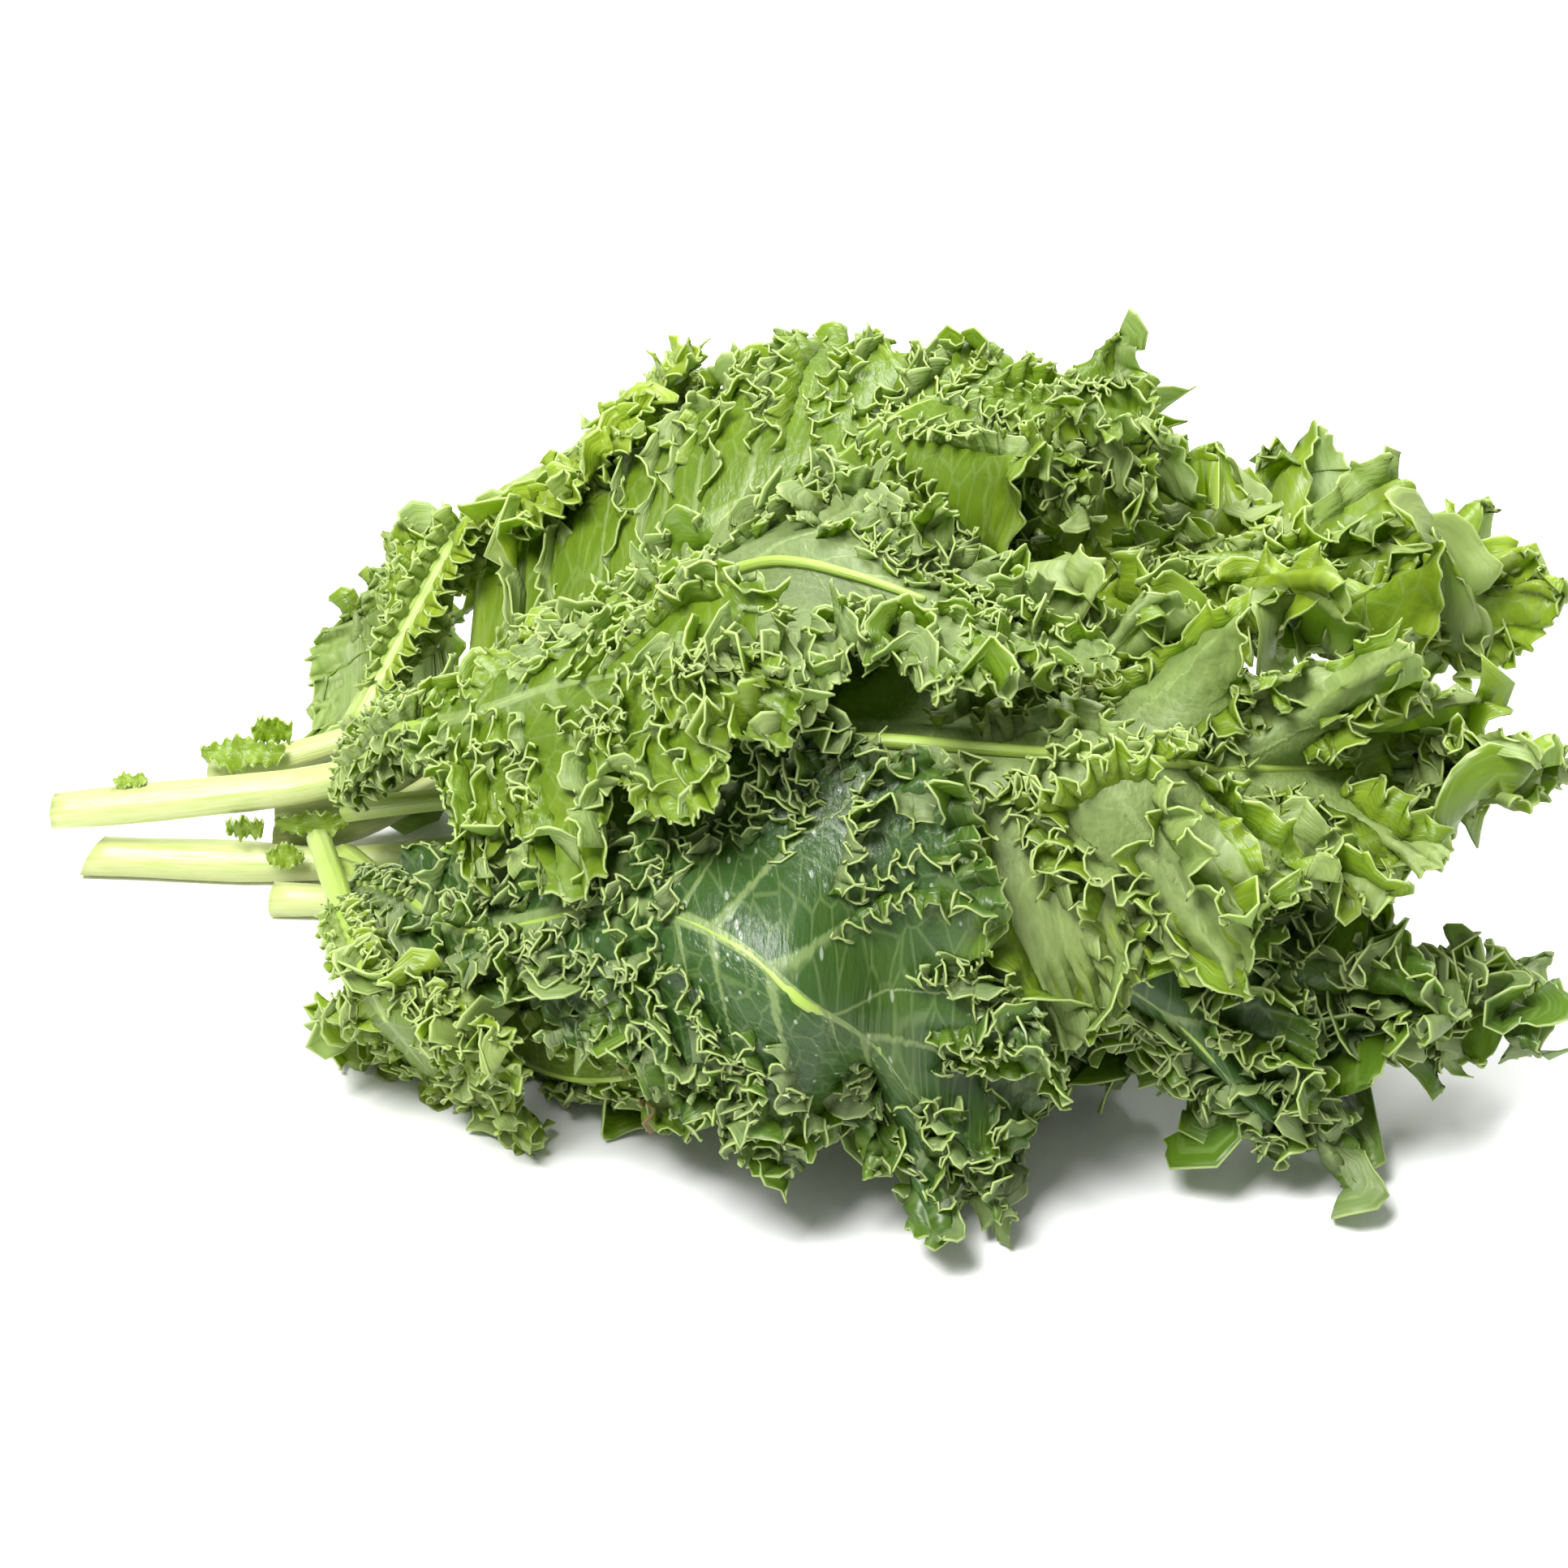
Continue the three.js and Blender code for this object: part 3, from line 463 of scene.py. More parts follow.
def zoned_triangles(numbers, counts):
    """The triangles of a grid in zones of rows, each with twice the columns of the one before."""
    found = []
    row = 0
    for zone, count in enumerate(counts):
        step = 2 ** (len(counts) - 1 - zone)
        last = zone == len(counts) - 1
        found.append(grid_triangles(numbers[::step, row:row + count + (1 if last else 0)]))
        row += count
        if not last:
            near, over = numbers[:, row - 1], numbers[:, row]
            i = np.arange(0, len(near) - 1, step)
            m = step // 2
            found.append(np.stack([near[i], over[i + m], over[i]], 1))
            found.append(np.stack([near[i], near[i + step], over[i + m]], 1))
            found.append(np.stack([near[i + step], over[i + step], over[i + m]], 1))
    return np.concatenate(found)


def blade_sheet(leaf, heap, sizes):
    """The middle surface of a blade as a grid over both its sides, and its values there."""
    k, arc = columns_of(leaf, MARGIN_PITCH[leaf["fine"]], 16)
    longest = max(max(leaf["half"]), leaf["tip"])
    t, counts = row_places(longest, leaf["fine"])
    n = len(k) - 1
    k = np.concatenate([k, k[-2::-1]])
    way = np.concatenate([arc, arc[-2::-1]])
    side = np.concatenate([np.ones(n + 1), -np.ones(n)])
    shape = (2 * n + 1, len(t))
    K, A, S = (np.broadcast_to(v[:, None], shape) for v in (k, way, side))
    T = np.broadcast_to(t[None], shape)
    x, angle, far, flat = blade_spots(leaf, S, K, A, T, heap)
    points = heap_point(x, angle, far - SINK * rise(T, 0.1, 0.7))
    outward = np.stack([0 * x, -np.sin(angle), np.cos(angle)], axis=-1)
    sign = np.sign(np.sum(directions(points)[2] * outward))
    edge = flat["margin"] * (1 - T)
    room = np.minimum(1, flat["length"] / 30) * rise(T, 0.0, 0.4)
    from_tip = S * (arc[-1] - A)
    vein = A / (arc[-1] / round(arc[-1] / VEIN_PITCH))
    bulge = 0.9 * np.abs(np.sin(np.pi * vein)) ** 0.7 * rise(T, 0.02, 0.3) * rise(edge, 0, 25)
    points = points + directions(points)[2] * (sign * bulge)[..., None]
    points = curl(points, from_tip, edge, leaf["seed"], sizes, room, sign, leaf["widen"])
    flat_xy = np.stack([x, flat["far"] * flat["out"][..., 1], 0 * x + 10 * leaf["seed"]], axis=-1)
    return dict(points=points, counts=counts, edge=edge, vein=vein, width=T, sign=sign, n=n,
                reach=flat["far"], flat=flat_xy, radius=rib_radius(leaf, flat["s"]), arc=arc[-1],
                room=room, k=k, x=x, angle=angle, far=far)


def sampled(grid, i, j):
    """The grid's values between its points."""
    i, j = np.clip(i, 0, grid.shape[0] - 1.001), np.clip(j, 0, grid.shape[1] - 1.001)
    a, b = i.astype(int), j.astype(int)
    u, v = (i - a)[:, None], (j - b)[:, None]
    return mix(mix(grid[a, b], grid[a, b + 1], v), mix(grid[a + 1, b], grid[a + 1, b + 1], v), u)


def smoothed(values, width):
    """The rows of values evened out over a window of this width."""
    half = width // 2
    padded = np.concatenate([values[:1]] * half + [values] + [values[-1:]] * half)
    return np.stack([np.convolve(padded[:, c], np.ones(width) / width, "valid") for c in range(3)], axis=1)


def frill_path(leaf, sheet, off, start, side, inset, rng):
    """Where a frill stands on a blade: points from the margin in towards the rib, and the way up.

    The last value is how deep it lies under the leaves that are laid over it.
    """
    n, columns = sheet["n"], len(sheet["k"])
    low, high = leaf["window"]
    reach = mix(0.05, leaf["reach"], rise(start, low - 0.08, low) * (1 - rise(start, high, high + 0.08)))
    inner = min(0.86, reach + inset + rng.uniform(-0.04, 0.12))
    index = start * n if side > 0 else columns - 1 - start * n
    length = sheet["edge"][int(index), 0] * (1 - inner)
    steps = 4 * max(3, int(length / FRILL_STEP[leaf["fine"]])) + 1
    t = np.linspace(0.985, inner, steps)
    wander = rng.uniform(-9, 9) * np.sin(np.linspace(0, rng.uniform(2, 5), steps))
    i = index + wander * (n / sheet["arc"])
    j = np.interp(t, sheet["width"][0], np.arange(sheet["width"].shape[1]))
    path = smoothed(sampled(sheet["points"], i, j), 5)
    buried = float(sampled(sheet["buried"][..., None], i, j).min())
    return path, smoothed(sampled(off, i, j) * sheet["sign"], 9), length, buried


def rib_frills(leaf, sheet, off, side, rng):
    """Where frills stand along a midrib, from the blade's foot to its bare stretch."""
    stretches = np.linspace(0.1, leaf["rib_frills"], RIB_STRETCHES + 1)
    for width, number in itertools.product(RIB_FRILL_ROWS, range(RIB_STRETCHES)):
        start, end = stretches[number], stretches[number + 1]
        i = np.linspace(start, end, 200) * sheet["n"]
        j = np.interp(np.full(200, width), sheet["width"][0], np.arange(sheet["width"].shape[1]))
        i = i if side > 0 else len(sheet["k"]) - 1 - i
        line = sampled(sheet["points"], i, j)
        ways = np.concatenate([[0], np.cumsum(np.linalg.norm(np.diff(line, axis=0), axis=1))])
        steps = 4 * max(3, int(ways[-1] / RIB_FRILL_STEP)) + 1
        at = np.interp(np.linspace(0, ways[-1], steps), ways, i)
        j = j[0] + 0 * at + 0.9 * np.sin(np.linspace(0, ways[-1] / 9, steps) + rng.uniform(0, 6))
        buried = float(np.median(sampled(sheet["buried"][..., None], at, j)))
        path = smoothed(sampled(sheet["points"], at, j), 5)
        yield path, smoothed(sampled(off, at, j) * sheet["sign"], 9), float(ways[-1]), buried


def frill(path, up, length, high, rng, sizes):
    """A frill along a path, as a grid of points with its rows, heights and run."""
    steps = len(path)
    ahead = np.gradient(path, axis=0)
    ahead /= np.maximum(np.linalg.norm(ahead, axis=1, keepdims=True), 1e-6)
    up = up - ahead * np.sum(up * ahead, axis=1, keepdims=True)
    up /= np.maximum(np.linalg.norm(up, axis=1, keepdims=True), 1e-6)
    cross = np.cross(ahead, up)
    share = np.linspace(0, 1, steps)
    run = share * length
    height = high * rng.uniform(0.65, 1.25) * (0.6 + 0.4 * rise(1 - share, 0, 0.4))
    height = height * (0.85 + 0.15 * np.sin(run / 3.1 + rng.uniform(0, 6)))
    tooth = np.abs(((run / TOOTH_PITCH + 0.3 * np.sin(run / 5) + rng.uniform()) % 1) * 2 - 1)
    rows = np.array(FRILL_ROWS)
    lean = rng.uniform(-0.8, 0.8)
    wave = 2 * np.pi * run / sizes.ruffle + rng.uniform(0, 6) + 0.8 * np.sin(run / 5 + rng.uniform(0, 6))
    fine = 2 * np.pi * run / sizes.curl + rng.uniform(0, 6) + 0.9 * np.sin(run / 3.7)
    points = []
    for h in rows:
        sway = high * 0.34 * h ** 1.1 * np.sin(wave + 1.2 * h)
        flick = 0.85 * sizes.curl_height * h ** 1.7 * np.sin(fine + 0.9 * h)
        rise_by = height * (h * (1 - 0.22 * h) + 0.24 * h ** 4 * (tooth - 0.4)) - 0.8
        shift_by = -high * 0.15 * h * np.sin(2 * wave) - 0.5 * h ** 2 * np.sin(2 * fine)
        place = path + up * rise_by[:, None] + cross * (lean * height * h + sway + flick)[:, None]
        points.append(place + ahead * shift_by[:, None])
    return np.stack(points, axis=1), rows, height, run


def wing_paths(leaf, sheet, rng):
    """Where the narrow ruffled wings stand that carry a blade on down its stem."""
    path, radii, foot = stem_path(leaf, sheet)
    before = np.cumsum(np.linalg.norm(np.diff(path[foot::-1], axis=0), axis=1))
    count = int(np.searchsorted(before, leaf["wings"])) + 1
    part = path[max(foot - count, 0):foot + 3]
    length = float(np.linalg.norm(np.diff(part, axis=0), axis=1).sum())
    steps = 4 * max(3, int(length / FRILL_STEP[True])) + 1
    at = np.linspace(len(part) - 1, 0, steps)
    line = through(part, at)
    ahead = np.gradient(line, axis=0)
    ahead /= np.linalg.norm(ahead, axis=1, keepdims=True)
    side = np.cross(ahead, np.array([0.0, 0.0, 1.0]))
    side /= np.linalg.norm(side, axis=1, keepdims=True)
    over = np.cross(side, ahead)
    for angle in WING_ANGLES + rng.uniform(-0.2, 0.2):
        up = side * math.sin(angle) + over * math.cos(angle)
        yield line + up * (radii[foot] * 0.75), up, length, 0.0


def blade_mesh(leaf, sheet, sizes):
    """The points, triangles and values of a whole blade with its frills."""
    points = sheet["points"]
    off = directions(points)[2]
    columns, rows = points.shape[:2]
    off[:, 0] = off[:, 0] + off[::-1, 0]
    off[:, 0] /= np.maximum(np.linalg.norm(off[:, 0], axis=-1, keepdims=True), 1e-6)
    numbers = np.arange(columns * rows).reshape(columns, rows)
    numbers[sheet["n"] + 1:, 0] = numbers[:sheet["n"], 0][::-1]
    triangles = zoned_triangles(numbers, sheet["counts"])
    triangles = triangles[(triangles[:, 0] != triangles[:, 1]) & (triangles[:, 1] != triangles[:, 2])
                          & (triangles[:, 0] != triangles[:, 2])]
    used, triangles = np.unique(triangles, return_inverse=True)
    triangles = triangles.reshape(-1, 3)
    edge = sheet["edge"].reshape(-1)[used]
    thick = SHEET_THICK + RIM_THICK * rise(1.6 - edge, 0, 1.6)
    shells = [thickened(points.reshape(-1, 3)[used], off.reshape(-1, 3)[used], thick, triangles)]
    flip = 1.0 if (sheet["sign"] > 0) == leaf["turned"] else 0.0

    def values(edge, vein, width, reach, ruffled, radius, flat, flip=flip):
        one = np.stack([np.minimum(edge, 8), vein, width, reach, ruffled, radius, *flat.T], axis=1)
        under = np.concatenate([np.full(len(one), flip), np.full(len(one), 1 - flip)])
        return np.concatenate([np.concatenate([one, one]), under[:, None]], axis=1)

    pick = {key: sheet[key].reshape(-1)[used] for key in ("vein", "width", "reach", "radius", "room")}
    # How ruffled the blade is near its margin; the shader draws these parts lighter, partly as painted
    # highlight.
    ruffled = rise(26 - edge, 0, 26) * pick["room"]
    found = [values(edge, pick["vein"], pick["width"], pick["reach"], ruffled, pick["radius"],
                    sheet["flat"].reshape(-1, 3)[used])]
    rng = np.random.default_rng(100 + leaf["seed"])
    count = round(sheet["arc"] / (sizes.frill_pitch if leaf["fine"] else 1.7 * sizes.frill_pitch))
    count = 0 if leaf["reach"] > 0.9 else count
    for side in (1, -1):
        stands = []
        for number in range(count):
            start = 0.03 + 0.95 * (number + rng.uniform(0.2, 0.8)) / count
            stands.append(frill_path(leaf, sheet, off, start, side, 0.0 if number % 2 else 0.16, rng))
        if leaf["rib_frills"]:
            stands += list(rib_frills(leaf, sheet, off, side, rng))
        if side > 0 and leaf["wings"]:
            stands += list(wing_paths(leaf, sheet, rng))
        high = sizes.frill * leaf["high"]
        stands = [stand for stand in stands if stand[3] < BURIED]
        for number, (path, up, length, _) in enumerate(stands):
            grid, heights, tall, run = frill(path, up, length, high, rng, sizes)
            shape = grid.shape[:2]
            f_off = directions(grid)[2].reshape(-1, 3)
            f_edge = (tall[:, None] * (1 - heights[None])).reshape(-1)
            f_tri = zoned_triangles(np.arange(shape[0] * shape[1]).reshape(shape), FRILL_ZONES)
            used, f_tri = np.unique(f_tri, return_inverse=True)
            f_tri = f_tri.reshape(-1, 3)
            f_thick = FRILL_THICK + RIM_THICK * rise(1.4 - f_edge, 0, 1.4)
            shells.append(thickened(grid.reshape(-1, 3)[used], f_off[used], f_thick[used], f_tri))
            one = np.ones(shape)
            f_run = np.broadcast_to(run[:, None], shape).reshape(-1)
            f_high = np.broadcast_to(heights[None], shape).reshape(-1) * 12
            f_flat = np.stack([f_run + 13 * number, f_high, 0 * f_run + 31 * side + leaf["seed"]], axis=1)
            # A frill's ruffled value grows towards its top, which the shader draws lighter, partly as painted
            # highlight.
            parts = (f_edge, f_run / 9, 0.9 * one.reshape(-1), 60 * one.reshape(-1),
                     (0.5 + 0.5 * heights[None] * one).reshape(-1), one.reshape(-1), f_flat)
            found.append(values(*(part[used] for part in parts), float(rng.uniform() < 0.5)))
    base = 0
    all_points, all_triangles = [], []
    for shell_points, shell_triangles in shells:
        all_points.append(shell_points)
        all_triangles.append(shell_triangles + base)
        base += len(shell_points)
    return np.concatenate(all_points), np.concatenate(all_triangles), np.concatenate(found)


BLADE_VALUES = ("edge", "vein", "width", "reach", "ruffled", "radius", "flat_x", "flat_y", "flat_z", "under")


def stem_path(leaf, sheet):
    """The points and radii of a stem, from its cut end on under the blade, and where the foot is."""
    n = sheet["n"]
    points = sheet["points"]
    off = directions(points)[2] * sheet["sign"]
    off = off[:n + 1, 0] + off[::-1, 0][:n + 1]
    off /= np.linalg.norm(off, axis=1, keepdims=True)
    step = max(1, n // 22)
    picked = np.arange(0, n + 1, step)
    picked = picked[sheet["k"][picked] < 0.9]
    radius = sheet["radius"][picked, 0]
    rib = points[picked, 0] + off[picked] * ((0.62 if leaf["turned"] else -0.85) * radius)[:, None]
    bare = [gather(np.array(p, dtype=float)) for p in leaf["stem"]]
    ends = bare + [rib[0]]
    way = []
    for a, b in zip(ends[:-1], ends[1:]):
        steps = max(1, round(np.linalg.norm(b - a) / STEM_STEP))
        way += [mix(a, b, i / steps) for i in range(steps)]
    way = np.array(way)
    if len(way) > 2:
        way[1:-1] = (way[:-2] + 2 * way[1:-1] + way[2:]) / 4
    radii = np.full(len(way), float(leaf["radius"]))
    tail = np.linspace(leaf["radius"], radius[0], 5)[1:-1]
    radii[-3:] = tail[-len(radii[-3:]):]
    joined = np.concatenate([way, rib])
    joined_radii = np.concatenate([radii, radius])
    at = np.arange(0, len(joined) - 1 + 1e-6, 1 / 3)
    return through(joined, at), np.interp(at, np.arange(len(joined)), joined_radii), 3 * len(way)


def stem_mesh(leaf, sheet, sides=STEM_SIDES):
    """A ridged stem that tapers along its path, closed by a dished cut face and a thin end."""
    path, radii, _ = stem_path(leaf, sheet)
    ahead = np.gradient(path, axis=0)
    ahead /= np.linalg.norm(ahead, axis=1, keepdims=True)
    up = np.array([0.0, 0.0, 1.0])
    theta = 2 * np.pi * np.arange(sides) / sides
    seed = leaf["seed"]
    ridges = 1 + 0.05 * np.cos(7 * theta + seed) + 0.035 * np.cos(11 * theta + 2 * seed)
    ridges = ridges - 0.1 * np.maximum(np.cos(theta), 0) ** 2
    points, values = [], []
    total = np.concatenate([[0], np.cumsum(np.linalg.norm(np.diff(path, axis=0), axis=1))])
    if leaf["stem"][0][0] > HIDDEN_STEM_X:
        total = total + HIDDEN_STEM_START
    for number, (place, way, radius) in enumerate(zip(path, ahead, radii)):
        up = up - way * np.dot(up, way)
        up /= np.linalg.norm(up)
        side = np.cross(way, up)
        swell = 1 + 0.03 * math.sin(total[number] / 9 + seed)
        ring = radius * ridges * swell
        circle = place + side * (ring * np.sin(theta))[:, None] + up * (ring * np.cos(theta))[:, None]
        if number == 0:
            circle = circle + way * (leaf["cut"] * ring * np.cos(theta + 0.6))[:, None]
            for share, dish in ((0.0, 0.9), (0.45, 0.7), (0.8, 0.25)):
                middle = circle.mean(axis=0)
                points.append(middle + (circle - middle) * share + way * dish * radius * 0.15)
                values.append(np.stack([np.full(sides, 1.0), theta * 0 + share, theta], axis=1))
        points.append(circle)
        values.append(np.stack([np.full(sides, 0.0), theta * 0 + total[number], theta], axis=1))
    points.append(np.repeat(points[-1].mean(axis=0)[None], sides, axis=0) + ahead[-1] * radii[-1] * 0.6)
    values.append(np.stack([np.full(sides, 0.0), theta * 0 + total[-1], theta], axis=1))
    grid = np.stack(points)
    count = len(grid)
    numbers = np.arange(count * sides).reshape(count, sides)
    numbers[0] = numbers[0, 0]
    numbers[-1] = numbers[-1, 0]
    wrapped = np.concatenate([numbers, numbers[:, :1]], axis=1)
    triangles = grid_triangles(wrapped)
    keep = (triangles[:, 0] != triangles[:, 1]) & (triangles[:, 1] != triangles[:, 2])
    triangles = triangles[keep & (triangles[:, 0] != triangles[:, 2])]
    used, triangles = np.unique(triangles, return_inverse=True)
    flat = grid.reshape(-1, 3)[used]
    flat[:, 2] = np.maximum(flat[:, 2], 0.02)
    return flat, triangles.reshape(-1, 3), np.concatenate(values)[used]


STEM_VALUES = ("cut", "along", "around")


def scrap_mesh(scrap, seed):
    """A torn scrap: a small toothed and crinkled sheet."""
    (x, y, z), length, width, turn = scrap
    u = np.linspace(-1, 1, 37)
    v = np.linspace(-1, 1, 11)
    U, V = np.meshgrid(u, v, indexing="ij")
    half = width / 2 * (1 - 0.9 * U ** 2) ** 0.6 * (0.88 + 0.12 * np.cos(5 * U + seed))
    half = half + 0.09 * width * np.abs(V) ** 3 * np.sin(23 * U + 5 * V)
    curl_up = 0.12 * width * np.sin(7.2 * U + seed + V) * (0.3 + np.abs(V))
    curl_up = curl_up + 0.08 * width * np.abs(V) ** 2 * np.sin(19 * U + 3 * seed)
    grid = np.stack([U * length / 2, V * half, curl_up], axis=-1)
    a = math.radians(turn)
    turned = np.stack([grid[..., 0], grid[..., 1] * math.cos(a) - grid[..., 2] * math.sin(a),
                       grid[..., 1] * math.sin(a) + grid[..., 2] * math.cos(a)], axis=-1) + (x, y, z)
    turned = gather(turned)
    off = directions(turned)[2].reshape(-1, 3)
    edge = (np.minimum(1 - np.abs(V), (1 - np.abs(U)) * 2) * width / 2).reshape(-1)
    numbers = np.arange(grid.shape[0] * grid.shape[1]).reshape(grid.shape[:2])
    points, triangles = thickened(turned.reshape(-1, 3), off, 0.6 + 0 * edge, grid_triangles(numbers))
    one = np.ones(len(edge))
    values = np.stack([edge, U.reshape(-1) * 2, 0.8 * one, 40 * one, 0.8 * one, one,
                       U.reshape(-1) * 10, V.reshape(-1) * 5, seed * 7 * one, 0 * one], axis=1)
    return points, triangles, np.concatenate([values, values])


@functools.lru_cache(maxsize=1)
def laid_leaves():
    """The sheet of every leaf, laid one after the other on the growing heap."""
    sizes = bpy.context.scene.kale_sizes
    grown = np.zeros(CELLS)
    sheets = {}
    for leaf in LEAVES:
        heap = smooth_heap(grown)
        sheets[leaf["name"]] = blade_sheet(leaf, heap, sizes)
        lay_blade(leaf, grown, heap)
    for sheet in sheets.values():
        sheet["buried"] = height_in(grown, sheet["x"], sheet["angle"]) - sheet["far"]
    return sheets


@functools.lru_cache(maxsize=1)
def shift():
    """From the leaves' own millimetres to the frame, whose origin is under the bunch's middle."""
    low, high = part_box("bottom_stem")
    return Vector((low.x * 1000 - BOTTOM_STEM_LOW_X, high.y * 1000 - BOTTOM_STEM_HIGH_Y, 0))


def add_piece(name, node, mesh_data, value_names, material):
    """Makes a mesh object in the frame that stands for a node."""
    points, triangles, values = mesh_data
    mesh = bpy.data.meshes.new(name)
    mesh.vertices.add(len(points))
    placed = (points + np.array(shift())) / 1000
    mesh.vertices.foreach_set("co", placed.astype(np.float32).ravel())
    mesh.loops.add(len(triangles) * 3)
    mesh.loops.foreach_set("vertex_index", triangles.astype(np.int32).ravel())
    mesh.polygons.add(len(triangles))
    mesh.polygons.foreach_set("loop_start", np.arange(0, len(triangles) * 3, 3, dtype=np.int32))
    for index, value_name in enumerate(value_names):
        layer = mesh.attributes.new(value_name, "FLOAT", "POINT")
        layer.data.foreach_set("value", values[:, index].astype(np.float32))
    mesh.update(calc_edges=True)
    mesh.validate()
    mesh.polygons.foreach_set("use_smooth", np.ones(len(mesh.polygons), dtype=bool))
    mesh.materials.append(material)
    piece = bpy.data.objects.new(name, mesh)
    bpy.context.scene.collection.objects.link(piece)
    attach(piece, "root")
    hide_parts(node)
    return piece


# Materials

class Socket:
    """An output of a shader node that takes part in sums, products and mixes."""

    def __init__(self, tree, output):
        self.tree = tree
        self.output = output

    def math(self, operation, *others, clamp=False):
        inputs = {n: value for n, value in enumerate((self,) + others)}
        return self.tree.node("ShaderNodeMath", dict(operation=operation, use_clamp=clamp), inputs)

    def __add__(self, other):
        return self.math("ADD", other)

    def __radd__(self, other):
        return self.math("ADD", other)

    def __mul__(self, other):
        return self.math("MULTIPLY", other)

    def __rmul__(self, other):
        return self.math("MULTIPLY", other)

    def __sub__(self, other):
        return self.math("SUBTRACT", other)

    def __rsub__(self, other):
        return self.tree.node("ShaderNodeMath", dict(operation="SUBTRACT"), {0: other, 1: self})

    def __truediv__(self, other):
        return self.math("DIVIDE", other)

    def __rtruediv__(self, other):
        return self.tree.node("ShaderNodeMath", dict(operation="DIVIDE"), {0: other, 1: self})

    def between(self, low, high, start=0.0, end=1.0):
        settings = dict(interpolation_type="SMOOTHSTEP")
        inputs = {"Value": self, "From Min": low, "From Max": high, "To Min": start, "To Max": end}
        return self.tree.node("ShaderNodeMapRange", settings, inputs)


class Shader:
    """A new material and a short way to add nodes to it."""

    def __init__(self, name):
        self.material = bpy.data.materials.new(name)
        self.material.use_nodes = True
        self.nodes = self.material.node_tree.nodes
        self.links = self.material.node_tree.links
        self.nodes.clear()

    def node(self, kind, settings=None, inputs=None, output=0):
        node = self.nodes.new(kind)
        for key, value in (settings or {}).items():
            setattr(node, key, value)
        for key, value in (inputs or {}).items():
            if isinstance(value, Socket):
                self.links.new(value.output, node.inputs[key])
            else:
                node.inputs[key].default_value = value
        return Socket(self, node.outputs[output]) if node.outputs else None

    def value(self, name):
        return self.node("ShaderNodeAttribute", dict(attribute_name=name), output="Fac")

    def blend(self, share, a, b):
        """The colour a where the share is 0 and b where it is 1."""
        return self.node("ShaderNodeMix", dict(data_type="RGBA"), {0: share, 6: a, 7: b}, output=2)

    def noise(self, place, scale, detail=3.0):
        inputs = {"Vector": place, "Scale": scale, "Detail": detail}
        return self.node("ShaderNodeTexNoise", dict(noise_dimensions="3D"), inputs, output=0)


